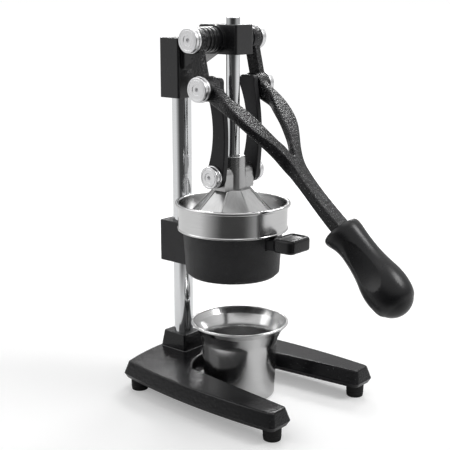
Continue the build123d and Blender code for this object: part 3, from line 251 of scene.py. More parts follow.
@dataclass
class Effects:
    """Shader groups that several finishes share, with the scales of their patterns."""

    warp_scale: float = 260.0
    warp_reach: float = 0.0016
    dent_smoothness: float = 0.55
    cloud_scale: float = 45.0
    cloud_share: float = 0.55
    broad_scale: float = 30.0
    line_share: float = 0.7
    speck_share: float = 0.55
    smudge_reach: Pair = (0.38, 0.68)

    def __post_init__(self) -> None:
        """Build every group once."""
        self.skin = self.cast_skin()
        self.lines = self.turned_lines()
        self.specks = self.dust_specks()
        self.smudge = self.soft_smudge()

    def cast_skin(self) -> bpy.types.NodeTree:
        """Build the dented and orange-peeled skin of paint or cast metal.

        Returns:
            A group with Height and Tone outputs.
        """
        graph, given = shader_group("cast_skin", ("Dents", "Peel", "Share"), ("Height", "Tone"))
        place, share = given["Vector"], given["Share"]
        warp = graph.noise(place, self.warp_scale, 2.0).outputs["Color"]
        pull = graph.vector("SCALE", warp)
        pull.inputs["Scale"].default_value = self.warp_reach
        feeds = {
            "Vector": graph.vector("ADD", place, pull.outputs[0]).outputs[0],
            "Scale": given["Dents"], "Smoothness": self.dent_smoothness, "Randomness": 1.0,
        }
        dents = graph.add("ShaderNodeTexVoronoi", feeds, feature="SMOOTH_F1")
        peel = graph.noise(place, given["Peel"], 3.0, roughness=0.6)
        deep = graph.sum("MULTIPLY", dents.outputs["Distance"], share)
        shallow = graph.sum("MULTIPLY", peel.outputs[0], graph.sum("SUBTRACT", 1.0, share))
        height = graph.sum("ADD", deep, shallow)
        cloud = graph.noise(place, self.cloud_scale, 4.0).outputs[0]
        tone = graph.weigh(self.cloud_share, cloud, height)
        graph.add("NodeGroupOutput", {"Height": height, "Tone": tone})
        return graph.tree

    def turned_lines(self) -> bpy.types.NodeTree:
        """Build fine lines that run round the Z axis of the vector.

        Returns:
            A group with Height and Tone outputs.
        """
        graph, given = shader_group("turned_lines", ("Fineness", "Wander"), ("Height", "Tone"))
        place = graph.add("ShaderNodeSeparateXYZ", {0: given["Vector"]}).outputs
        flat = graph.add("ShaderNodeCombineXYZ", {"X": place["X"], "Y": place["Y"], "Z": 0.0})
        radius = graph.vector("LENGTH", flat.outputs[0]).outputs["Value"]
        turn = graph.vector("NORMALIZE", flat.outputs[0]).outputs[0]
        way = graph.add("ShaderNodeSeparateXYZ", {0: turn}).outputs
        level = graph.sum("ADD", place["Z"], radius)
        feeds = {axis: graph.sum("MULTIPLY", way[axis], given["Wander"]) for axis in "XY"}
        feeds["Z"] = graph.sum("MULTIPLY", level, given["Fineness"])
        spot = graph.add("ShaderNodeCombineXYZ", feeds).outputs[0]
        fine = graph.noise(spot, 1.0, 3.0, roughness=0.65).outputs[0]
        broad = graph.noise(given["Vector"], self.broad_scale, 3.0).outputs[0]
        tone = graph.weigh(self.line_share, fine, broad)
        graph.add("NodeGroupOutput", {"Height": fine, "Tone": tone})
        return graph.tree

    def dust_specks(self) -> bpy.types.NodeTree:
        """Build sparse small specks, which serve as dust and, where they are bright, as painted
        glints.

        Returns:
            A group with a Mask output.
        """
        graph, given = shader_group("dust_specks", ("Count", "Reach"), ("Mask",))
        feeds = {"Vector": given["Vector"], "Scale": given["Count"]}
        cells = graph.add("ShaderNodeTexVoronoi", feeds).outputs
        pick = graph.add("ShaderNodeSeparateXYZ", {0: cells["Color"]}).outputs
        size = graph.sum("MULTIPLY", pick["X"], given["Reach"])
        inside = graph.sum("LESS_THAN", cells["Distance"], size)
        chosen = graph.sum("GREATER_THAN", pick["Y"], self.speck_share)
        graph.add("NodeGroupOutput", {"Mask": graph.sum("MULTIPLY", inside, chosen)})
        return graph.tree

    def soft_smudge(self) -> bpy.types.NodeTree:
        """Build broad cloudy marks such as handling leaves.

        Returns:
            A group with a Mask output.
        """
        graph, given = shader_group("soft_smudge", ("Scale",), ("Mask",))
        cloud = graph.noise(given["Vector"], given["Scale"], 5.0, distortion=0.8).outputs[0]
        graph.add("NodeGroupOutput", {"Mask": graph.span(cloud, 0.0, 1.0, *self.smudge_reach)})
        return graph.tree


@dataclass(frozen=True, kw_only=True)
class Finish:
    """Tones, gloss and relief that paint and bare metal share."""

    name: str
    dark: Triple
    light: Triple
    rough: Pair
    depth: float
    strength: float
    tone_ends: Pair = (0.25, 0.75)
    smudge_scale: float = 38.0

    def material(self, effects: Effects) -> bpy.types.Material:
        """Build the material.

        Args:
            effects: Shared shader groups.

        Returns:
            The finished material.
        """
        made = bpy.data.materials.new(self.name)
        made.use_nodes = True
        made.node_tree.nodes.clear()
        graph = Graph(made.node_tree)
        place = graph.add("ShaderNodeTexCoord").outputs["Object"]
        skin = self.skin(graph, effects, place)
        ramp = graph.add("ShaderNodeValToRGB", {"Fac": skin["Tone"]})
        low, high = ramp.color_ramp.elements
        low.position, high.position = self.tone_ends
        low.color, high.color = (*self.dark, 1.0), (*self.light, 1.0)
        feeds = {"Vector": place, "Scale": self.smudge_scale}
        smudge = graph.add("ShaderNodeGroup", feeds, node_tree=effects.smudge).outputs["Mask"]
        worn = graph.sum("MULTIPLY", graph.sum("ADD", skin["Tone"], smudge), 0.5)
        feeds = {"Strength": self.strength, "Distance": self.depth, "Height": skin["Height"]}
        shader = graph.add("ShaderNodeBsdfPrincipled", {
            "Base Color": self.colour(graph, effects, place, ramp.outputs["Color"]),
            "Roughness": graph.span(worn, *self.rough),
            "Normal": graph.add("ShaderNodeBump", feeds).outputs[0],
            **self.plain(),
        })
        graph.add("ShaderNodeOutputMaterial", {"Surface": shader.outputs[0]})
        return made

    def skin(self, graph: Graph, effects: Effects, place: Socket) -> bpy.types.NodeOutputs:
        """Return the Height and Tone of the surface, which each kind of finish places."""
        raise NotImplementedError

    def colour(self, graph: Graph, effects: Effects, place: Socket, base: Socket) -> Socket:
        """Return the colour of the surface."""
        return base

    def plain(self) -> dict[str, float]:
        """Return the shader's values that are the same all over."""
        raise NotImplementedError


@dataclass(frozen=True, kw_only=True)
class CoatedFinish(Finish):
    """Paint, plastic or rubber with a dented or grained skin."""

    dents: float
    peel: float
    share: float
    specular: float = 0.5
    speck_colour: Triple = (0.2, 0.2, 0.2)
    speck_count: float = 260.0
    speck_reach: float = 0.16

    def skin(self, graph: Graph, effects: Effects, place: Socket) -> bpy.types.NodeOutputs:
        """Return the Height and Tone of the dented skin."""
        feeds = {"Vector": place, "Dents": self.dents, "Peel": self.peel, "Share": self.share}
        return graph.add("ShaderNodeGroup", feeds, node_tree=effects.skin).outputs

    def colour(self, graph: Graph, effects: Effects, place: Socket, base: Socket) -> Socket:
        """Return the colour of the coat with its specks: dust, or painted glints where the specks
        are bright.

        Args:
            graph: Graph of the material.
            effects: Shared shader groups.
            place: Object coordinates.
            base: Colour without the specks.

        Returns:
            The colour socket.
        """
        feeds = {"Vector": place, "Count": self.speck_count, "Reach": self.speck_reach}
        specks = graph.add("ShaderNodeGroup", feeds, node_tree=effects.specks).outputs["Mask"]
        feeds = {0: specks, 6: base, 7: (*self.speck_colour, 1.0)}
        return graph.add("ShaderNodeMix", feeds, data_type="RGBA").outputs[2]

    def plain(self) -> dict[str, float]:
        """Return the specular level of the coat."""
        return {"Specular IOR Level": self.specular}


@dataclass(frozen=True, kw_only=True)
class MetalFinish(Finish):
    """Bare metal with fine lines round a turning line."""

    fineness: float
    wander: float
    centre: Triple = (0.0, 0.0, 0.0)
    line: Line = Line.UP
    tone_ends: Pair = (0.3, 0.7)
    smudge_scale: float = 26.0

    def skin(self, graph: Graph, effects: Effects, place: Socket) -> bpy.types.NodeOutputs:
        """Return the Height and Tone of lines round the turning line.

        Args:
            graph: Graph of the material.
            effects: Shared shader groups.
            place: Object coordinates.

        Returns:
            The sockets of the placed group.
        """
        tilt = QUARTER_TURN if self.line is Line.ACROSS else 0.0
        centred = graph.vector("SUBTRACT", place, self.centre).outputs[0]
        feeds = {"Vector": centred, "Rotation": (tilt, 0.0, 0.0)}
        turned_place = graph.add("ShaderNodeMapping", feeds, vector_type="POINT").outputs[0]
        feeds = {"Vector": turned_place, "Fineness": self.fineness, "Wander": self.wander}
        return graph.add("ShaderNodeGroup", feeds, node_tree=effects.lines).outputs

    def plain(self) -> dict[str, float]:
        """Return that the surface is all metal."""
        return {"Metallic": 1.0}


def corners_of(node: str) -> tuple[Vector, Vector]:
    """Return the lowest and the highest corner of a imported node."""
    low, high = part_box(node)
    return Vector(low), Vector(high)


def rounded(corners: Sequence[Triple], steps: int = 5, closed: bool = True) -> list[Pair]:
    """Round the corners of a half outline.

    Args:
        corners: Radius, level and corner radius of each corner.
        steps: Points along each rounded corner.
        closed: Whether the last corner joins the first.

    Returns:
        Points (radius, level) of the rounded outline.
    """
    points: list[Pair] = []
    count = len(corners)
    for i, (x, z, ease) in enumerate(corners):
        if ease <= 0 or (not closed and i in (0, count - 1)):
            points.append((x, z))
            continue
        here = Vector((x, z))
        before = Vector(corners[i - 1][:2]) - here
        after = Vector(corners[(i + 1) % count][:2]) - here
        limit = CORNER_LIMIT * min(before.length, after.length)
        reach = min(ease / math.tan(before.angle(after) / 2), limit)
        enter, leave = here + before.normalized() * reach, here + after.normalized() * reach
        for k in range(steps + 1):
            t = k / steps
            p = enter * (1 - t) ** 2 + here * (2 * t * (1 - t)) + leave * t**2
            points.append((p.x, p.y))
    return points


def measured(radius: float, level: float, rows: Sequence[Triple]) -> list[Triple]:
    """Return outline corners that are given from one point of the outline."""
    return [(radius + x, level + z, ease) for x, z, ease in rows]


def new_object(name: str, data: bpy.types.ID) -> bpy.types.Object:
    """Set a mesh, lamp or camera in the scene.

    Args:
        name: Name of the new object.
        data: Mesh, lamp or camera that it shows.

    Returns:
        The new object.
    """
    made = bpy.data.objects.new(name, data)
    bpy.context.scene.collection.objects.link(made)
    return made


def plain_mesh(bm: bmesh.types.BMesh, name: str) -> bpy.types.Mesh:
    """Turn a mesh under construction into a plain mesh.

    Args:
        bm: Mesh under construction, freed here.
        name: Name of the new mesh.

    Returns:
        The new mesh.
    """
    mesh = bpy.data.meshes.new(name)
    bm.to_mesh(mesh)
    bm.free()
    return mesh


def finish_mesh(bm: bmesh.types.BMesh, name: str) -> bpy.types.Object:
    """Close a mesh under construction and shade it smooth up to crisp edges.

    Args:
        bm: Mesh under construction, freed here.
        name: Name of the new object.

    Returns:
        The new object.
    """
    bmesh.ops.remove_doubles(bm, verts=bm.verts, dist=MERGE_GAP)
    bmesh.ops.recalc_face_normals(bm, faces=bm.faces)
    mesh = plain_mesh(bm, name)
    mesh.shade_smooth()
    mesh.set_sharp_from_angle(angle=SMOOTH_ANGLE)
    return new_object(name, mesh)


def settle(piece: bpy.types.Object) -> None:
    """Turn a piece and its modifiers into a plain mesh.

    Args:
        piece: Object that loses its modifiers here.
    """
    solved = piece.evaluated_get(bpy.context.evaluated_depsgraph_get())
    mesh = bpy.data.meshes.new_from_object(solved)
    mesh.name = piece.name
    piece.modifiers.clear()
    piece.data = mesh


def bridge(bm: bmesh.types.BMesh, rings: Sequence[Ring], closed: bool) -> None:
    """Join neighbouring rings with faces and cap open ends.

    Args:
        bm: Mesh that receives the faces.
        rings: Rings of points; a ring of one point is a pole.
        closed: Whether the last ring joins the first.
    """
    for first, second in zip(rings, rings[1:] + rings[:1] if closed else rings[1:]):
        sides = max(len(first), len(second))
        for k in range(sides):
            spots = [ring[n % sides % len(ring)] for ring in (first, second) for n in (k, k + 1)]
            face = list(dict.fromkeys((spots[0], spots[1], spots[3], spots[2])))
            if len(face) > 2:
                bm.faces.new(face)
    for ring in () if closed else (rings[0], rings[-1]):
        if len(ring) > 2:
            bm.faces.new(ring)


def turned(
    name: str,
    outline: Sequence[Pair],
    centre: Vector,
    line: Line = Line.UP,
    sides: int = 96,
    flats: dict[int, int] | None = None,
) -> bpy.types.Object:
    """Turn a half outline round a line through a point, on both sides of a cross line.

    Args:
        name: Name of the new object.
        outline: Points (radius, distance along the line); a radius of 0 is a pole.
        centre: Point on the turning line.
        line: Direction of the turning line.
        sides: Faces round the turning line.
        flats: Number of flats for outline points that are not round.

    Returns:
        The new object.
    """
    bm = bmesh.new()
    for side in (-1, 1) if line is Line.ACROSS else (1,):
        rings: list[Ring] = []
        for place, (radius, along) in enumerate(outline):
            flat = (flats or {}).get(place, 0)
            ring = []
            for k in range(1 if radius < POLE_R else sides):
                turn, reach = FULL_TURN * k / sides, radius
                if flat:
                    wedge = FULL_TURN / flat
                    reach *= math.cos(wedge / 2) / math.cos((turn % wedge) - wedge / 2)
                x, y = reach * math.cos(turn), reach * math.sin(turn)
                spot = (x, y, along) if line is Line.UP else (x, side * along, y)
                ring.append(bm.verts.new(centre + Vector(spot)))
            rings.append(ring)
        bridge(bm, rings, len(rings[0]) > 1 and len(rings[-1]) > 1)
    return finish_mesh(bm, name)


def upright_bar(
    node: str, name: str, radius: float, eases: Pair, x: float, sides: int
) -> bpy.types.Object:
    """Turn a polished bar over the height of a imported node.

    Args:
        node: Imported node.
        name: Name of the new object.
        radius: Radius of the bar.
        eases: Corner radius at the lower and the upper end.
        x: Place of the bar's middle line.
        sides: Faces round the bar.

    Returns:
        The new object.
    """
    low, high = corners_of(node)
    ends = [(radius, low.z, eases[0]), (radius, high.z, eases[1])]
    outline = rounded([(0.0, low.z, 0.0), *ends, (0.0, high.z, 0.0)], closed=False)
    return turned(name, outline, Vector((x, 0.0, 0.0)), sides=sides)


def add_tube(
    bm: bmesh.types.BMesh, path: Sequence[Vector], radius: float, up: Vector, closed: bool
) -> None:
    """Run a thin round bead along a path.

    Args:
        bm: Mesh that receives the faces.
        path: Points along the middle of the bead.
        radius: Radius of the bead.
        up: Direction that is never along the path.
        closed: Whether the path returns to its start.
    """
    count = len(path)
    turns = [FULL_TURN * k / TUBE_SIDES for k in range(TUBE_SIDES)]
    rings = []
    for i, spot in enumerate(path):
        before = path[i - 1] if closed or i else spot
        after = path[(i + 1) % count] if closed or i < count - 1 else spot
        along = (after - before).normalized()
        out = along.cross(up).normalized()
        rise = out.cross(along)
        sides = [math.cos(t) * out + math.sin(t) * rise for t in turns]
        rings.append([bm.verts.new(spot + radius * way) for way in sides])
    bridge(bm, rings, closed)


def block_loop(
    centre: Vector, half: Pair, ease: float, level: float, steps: int = 8
) -> list[Vector]:
    """Lay out one level of a block with round corners.

    Args:
        centre: Middle of the block.
        half: Half lengths along X and Y.
        ease: Corner radius.
        level: Height above the middle.
        steps: Points along each corner.

    Returns:
        Points round the block.
    """
    points = []
    for quarter, (sx, sy) in enumerate(((1, 1), (-1, 1), (-1, -1), (1, -1))):
        for k in range(steps + 1):
            turn = (quarter + k / steps) * QUARTER_TURN
            x = sx * (half[0] - ease) + ease * math.cos(turn)
            y = sy * (half[1] - ease) + ease * math.sin(turn)
            points.append(centre + Vector((x, y, level)))
    return points


class Repeater:
    """Geometry Nodes tree that sets one small shape on every point of a mesh."""

    def __init__(self) -> None:
        """Build the tree once."""
        inputs = {"Geometry": "Geometry", "Shape": "Object", "Finish": "Material"}
        outputs = {"Geometry": "Geometry"}
        graph, given = new_group("GeometryNodeTree", "set_on_points", inputs, outputs)
        shape = graph.add(
            "GeometryNodeObjectInfo", {"Object": given["Shape"]}, transform_space="ORIGINAL"
        )
        turn = graph.add(
            "GeometryNodeInputNamedAttribute", {"Name": "turn"}, data_type="FLOAT_VECTOR"
        )
        copies = graph.add("GeometryNodeInstanceOnPoints", {
            "Points": given["Geometry"],
            "Instance": shape.outputs["Geometry"],
            "Rotation": turn.outputs["Attribute"],
        })
        real = graph.add("GeometryNodeRealizeInstances", {"Geometry": copies.outputs[0]})
        feeds = {"Geometry": real.outputs[0], "Material": given["Finish"]}
        dressed = graph.add("GeometryNodeSetMaterial", feeds)
        graph.add("NodeGroupOutput", {"Geometry": dressed.outputs[0]})
        self.tree = graph.tree

    def lay(
        self,
        name: str,
        shape: bpy.types.Object,
        spots: Sequence[Vector],
        turns: Sequence[Vector],
        finish: bpy.types.Material,
    ) -> bpy.types.Object:
        """Set copies of a shape on points and return them as one plain mesh.

        Args:
            name: Name of the new object.
            shape: Shape modelled round the origin, removed here.
            spots: Places of the copies.
            turns: Euler turn of each copy.
            finish: Material of the copies.

        Returns:
            The new object.
        """
        mesh = bpy.data.meshes.new(name)
        mesh.from_pydata([tuple(s) for s in spots], [], [])
        turn = mesh.attributes.new("turn", "FLOAT_VECTOR", "POINT")
        for value, wanted in zip(turn.data, turns):
            value.vector = wanted
        made = new_object(name, mesh)
        run_tree(made, self.tree, {"Shape": shape, "Finish": finish})
        bpy.data.objects.remove(shape)
        return made


def run_tree(
    piece: bpy.types.Object, tree: bpy.types.NodeTree, values: dict[str, object]
) -> None:
    """Run a Geometry Nodes tree on a piece and keep the result as a plain mesh.

    Args:
        piece: Object that receives the result.
        tree: Geometry Nodes tree.
        values: Value of each named input.
    """
    node = piece.modifiers.new("tree", "NODES")
    node.node_group = tree
    for item in tree.interface.items_tree:
        if item.in_out == "INPUT" and item.name in values:
            node[item.identifier] = values[item.name]
    settle(piece)


class Bench:
    """Holds the loaded frame, dresses pieces and sets them on their bodies."""

    def __init__(self) -> None:
        """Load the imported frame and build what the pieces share."""
        self.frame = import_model()
        self.cad_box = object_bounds()
        self.effects = Effects()
        self.repeater = Repeater()
        self.finishes: dict[str, bpy.types.Material] = {}

    def pivot(self, node: str) -> Vector:
        """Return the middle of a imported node."""
        low, high = corners_of(node)
        return (low + high) / 2

    def material(self, finish: Finish) -> bpy.types.Material:
        """Build the material of a finish once.

        Args:
            finish: Finish that is wanted.

        Returns:
            Its material.
        """
        if finish.name not in self.finishes:
            self.finishes[finish.name] = finish.material(self.effects)
        return self.finishes[finish.name]

    def keep(
        self, piece: bpy.types.Object, body: Body, slot: str, finish: Finish, *nodes: str
    ) -> None:
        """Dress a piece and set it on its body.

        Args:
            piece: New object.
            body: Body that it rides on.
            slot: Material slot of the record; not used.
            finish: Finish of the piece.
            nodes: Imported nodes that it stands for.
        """
        piece.data.materials.clear()
        piece.data.materials.append(self.material(finish))
        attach(piece, body.value)
        if nodes:
            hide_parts(*nodes)
        LOG.info("%s: %d faces on %s", piece.name, len(piece.data.polygons), body.value)

    def paint(self, finish: Finish, *nodes: str) -> None:
        """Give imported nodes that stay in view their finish.

        Args:
            finish: Finish of the nodes.
            nodes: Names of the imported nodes.
        """
        for node in nodes:
            slots = self.frame["nodes"][node].data.materials
            slots.clear()
            slots.append(self.material(finish))
            LOG.info("%s: painted as packed", node)

    def eased_copy(self, node: str, name: str, ease: float, steps: int = 2) -> bpy.types.Object:
        """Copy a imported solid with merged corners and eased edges.

        Args:
            node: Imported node.
            name: Name of the copy.
            ease: Width of the eased edges.
            steps: Faces across each eased edge.

        Returns:
            The new object.
        """
        source = self.frame["nodes"][node]
        bm = bmesh.new()
        bm.from_mesh(source.data)
        bm.transform(source.matrix_world)
        bmesh.ops.remove_doubles(bm, verts=bm.verts, dist=MERGE_GAP)
        bmesh.ops.dissolve_limit(bm, angle_limit=FLAT_ANGLE, verts=bm.verts, edges=bm.edges)
        made = new_object(name, plain_mesh(bm, name))
        made.data.shade_smooth()
        if ease > 0:
            bevel = made.modifiers.new("ease", "BEVEL")
            bevel.width, bevel.segments = ease, steps
            bevel.limit_method, bevel.angle_limit = "ANGLE", EASED_ANGLE
            bevel.use_clamp_overlap = True
        level = made.modifiers.new("level", "WEIGHTED_NORMAL")
        level.keep_sharp = True
        level.weight = FACE_WEIGHT
        settle(made)
        return made


def grey(level: float, blue: float = 0.0) -> Triple:
    """Return a grey, with a little more blue where it is given."""
    return (level, level, level + blue)


AXIS_X = -61.2 * MM
COLUMN_X = -137.2 * MM
CUP_X = AXIS_X + 10.4 * MM

# The lighter grey specks are painted sparkle on the glossy paint.
GLOSS_ENAMEL = CoatedFinish(
    name="gloss_enamel", dark=grey(0.004, 0.001), light=grey(0.010, 0.001), rough=(0.08, 0.20),
    specular=0.32, dents=360.0, peel=900.0, share=0.7, depth=0.5 * MM, strength=0.38,
    speck_colour=grey(0.06), speck_count=480.0, speck_reach=0.2,
)
SATIN_ENAMEL = CoatedFinish(
    name="satin_enamel", dark=grey(0.006, 0.001), light=grey(0.014, 0.001), rough=(0.16, 0.30),
    specular=0.56, dents=700.0, peel=1500.0, share=0.3, depth=0.2 * MM, strength=0.2,
    speck_colour=grey(0.03),
)
TEXTURED_ENAMEL = CoatedFinish(
    name="textured_enamel", dark=grey(0.012, 0.001), light=grey(0.032, 0.002), rough=(0.40, 0.60),
    specular=0.36, dents=800.0, peel=2000.0, share=0.55, depth=0.7 * MM, strength=0.8,
    speck_colour=grey(0.05),
)
# The bright grey specks are painted glints standing in for highlights on the hammered dents.
HAMMER_ENAMEL = CoatedFinish(
    name="hammer_enamel", dark=grey(0.004, 0.001), light=grey(0.013, 0.001), rough=(0.10, 0.26),
    specular=0.34, dents=620.0, peel=1500.0, share=0.8, depth=0.8 * MM, strength=0.9,
    speck_colour=grey(0.15, 0.005), speck_count=560.0, speck_reach=0.3,
)
LINK_ENAMEL = CoatedFinish(
    name="link_enamel", dark=grey(0.010, 0.001), light=grey(0.020, 0.002), rough=(0.40, 0.56),
    specular=0.3, dents=600.0, peel=1800.0, share=0.35, depth=0.2 * MM, strength=0.3,
    speck_colour=grey(0.05),
)
# Lighter grey paint for the seam beads: a painted highlight along their crests.
SEAM_HIGHLIGHT_ENAMEL = CoatedFinish(
    name="worn_enamel", dark=grey(0.02, 0.001), light=grey(0.16, 0.005), rough=(0.26, 0.44),
    dents=500.0, peel=1600.0, share=0.5, depth=0.3 * MM, strength=0.5,
)
BUSH_OXIDE = CoatedFinish(
    name="bush_oxide", dark=grey(0.006, 0.001), light=grey(0.016, 0.001), rough=(0.16, 0.28),
    specular=0.3, dents=800.0, peel=2400.0, share=0.3, depth=0.1 * MM, strength=0.1,
    speck_colour=grey(0.03),
)
GRIP_PLASTIC = CoatedFinish(
    name="grip_plastic", dark=grey(0.005, 0.001), light=grey(0.010, 0.001), rough=(0.22, 0.36),
    specular=0.36, dents=1200.0, peel=3200.0, share=0.2, depth=0.1 * MM, strength=0.2,
    speck_colour=grey(0.03), speck_count=200.0, speck_reach=0.1,
)
BLACK_RUBBER = CoatedFinish(
    name="black_rubber", dark=grey(0.006), light=grey(0.016), rough=(0.6, 0.82),
    specular=0.25, dents=900.0, peel=2600.0, share=0.4, depth=0.3 * MM, strength=0.5,
    speck_colour=grey(0.04),
)
COLUMN_CHROME = MetalFinish(
    name="column_chrome", dark=(0.76, 0.77, 0.78), light=(0.82, 0.83, 0.84), rough=(0.08, 0.14),
    fineness=1800.0, wander=0.4, depth=0.01 * MM, strength=0.03, centre=(COLUMN_X, 0.0, 0.0),
)
ROD_CHROME = replace(COLUMN_CHROME, name="rod_chrome", centre=(AXIS_X, 0.0, 0.0))
STAINLESS = MetalFinish(
    name="stainless", dark=grey(0.60), light=grey(0.72), rough=(0.15, 0.25),
    fineness=5200.0, wander=1.6, depth=0.03 * MM, strength=0.2, centre=(AXIS_X, 0.0, 0.0),
)
CUP_STEEL = replace(
    STAINLESS, name="cup_steel", rough=(0.13, 0.24), fineness=4200.0, centre=(CUP_X, 0.0, 0.0)
)
CAST_ALLOY = MetalFinish(
    name="cast_alloy", dark=grey(0.42), light=grey(0.54), rough=(0.22, 0.36),
    fineness=1500.0, wander=9.0, depth=0.05 * MM, strength=0.25, centre=(AXIS_X, 0.0, 0.0),
)
ZINC = MetalFinish(
    name="zinc_plate", dark=grey(0.42), light=grey(0.56, 0.01), rough=(0.3, 0.5),
    fineness=2600.0, wander=4.0, depth=0.04 * MM, strength=0.3,
)
PIVOT_STEEL = MetalFinish(
    name="pivot_steel", dark=grey(0.78, 0.01), light=grey(0.86, 0.01), rough=(0.22, 0.32),
    fineness=2400.0, wander=0.8, depth=0.01 * MM, strength=0.04, line=Line.ACROSS,
)


@dataclass
class Assembly:
    """Sub-assembly with the bench that dresses its pieces."""

    bench: Bench


@dataclass
class PivotSet(Assembly):
    """Capped bolt and washer on both sides of one cross pivot."""

    washers: str
    bolts: str
    body: Body
    bore: float = 6.0 * MM
    washer_h: float = 3.0 * MM
    washer_ease: float = 0.9 * MM
    cap_h: float = 4.6 * MM
    cap_ease: float = 1.7 * MM
    seat_ease: float = 0.5 * MM
    ring_share: float = 0.78
    ring_w: float = 0.22 * MM
    ring_h: float = 0.12 * MM
    ring_ease: float = 0.05 * MM
    dish_share: float = 0.45
    dish_h: float = 0.5 * MM
    dish_ease: float = 0.15 * MM
    socket_r: float = 2.3 * MM
    socket_h: float = 3.0 * MM
    socket_mouth: float = 1.12
    socket_lead: float = 0.25 * MM
    socket_point: float = 0.4 * MM

    def build(self) -> None:
        """Turn the washers and the capped bolts."""
        centre = self.bench.pivot(self.washers)
        hub = Vector((centre.x, 0.0, centre.z))
        finish = replace(PIVOT_STEEL, name=self.bolts + "_steel", centre=tuple(hub))
        low, high = corners_of(self.washers)
        rim, face, ease = (high.x - low.x) / 2, high.y, self.washer_ease
        inner = face - self.washer_h
        washer = rounded([
            (self.bore, inner, 0.0), (rim, inner, ease), (rim, face, ease), (self.bore, face, 0.0),
        ])
        piece = turned(self.washers + "_turned", washer, hub, Line.ACROSS)
        self.bench.keep(piece, self.body, "pivot_steel", finish, self.washers)
        low, high = corners_of(self.bolts)
        cap, flats = self.cap((high.x - low.x) / 2, high.y)
        piece = turned(self.bolts + "_capped", cap, hub, Line.ACROSS, flats=flats)
        self.bench.keep(piece, self.body, "pivot_steel", finish, self.bolts)

    def cap(self, head_r: float, top: float) -> tuple[list[Pair], dict[int, int]]:
        """Draw the half outline of a capped bolt with its hexagon socket.

        Args:
            head_r: Radius of the head.
            top: Level of the outer face.

        Returns:
            The outline and the number of flats of its points in the socket.
        """
        seat, floor = top - self.cap_h, top - self.dish_h
        ring, dish = head_r * self.ring_share, head_r * self.dish_share
        outline = rounded([
            (0.0, seat, 0.0), (head_r, seat, self.seat_ease), (head_r, top, self.cap_ease),
            (ring + self.ring_w, top, self.ring_ease), (ring, top - self.ring_h, self.ring_ease),
            (ring - self.ring_w, top, self.ring_ease), (dish, top, self.dish_ease),
            (dish - self.dish_h, floor, 0.0),
        ], closed=False)
        hexagon = [
            (self.socket_r * self.socket_mouth, floor),
            (self.socket_r, floor - self.socket_lead),
            (self.socket_r, top - self.socket_h),
        ]
        flats = {len(outline) + k: SOCKET_SIDES for k in range(len(hexagon))}
        point = (0.0, top - self.socket_h - self.socket_point)
        return [*outline, *hexagon, point], flats


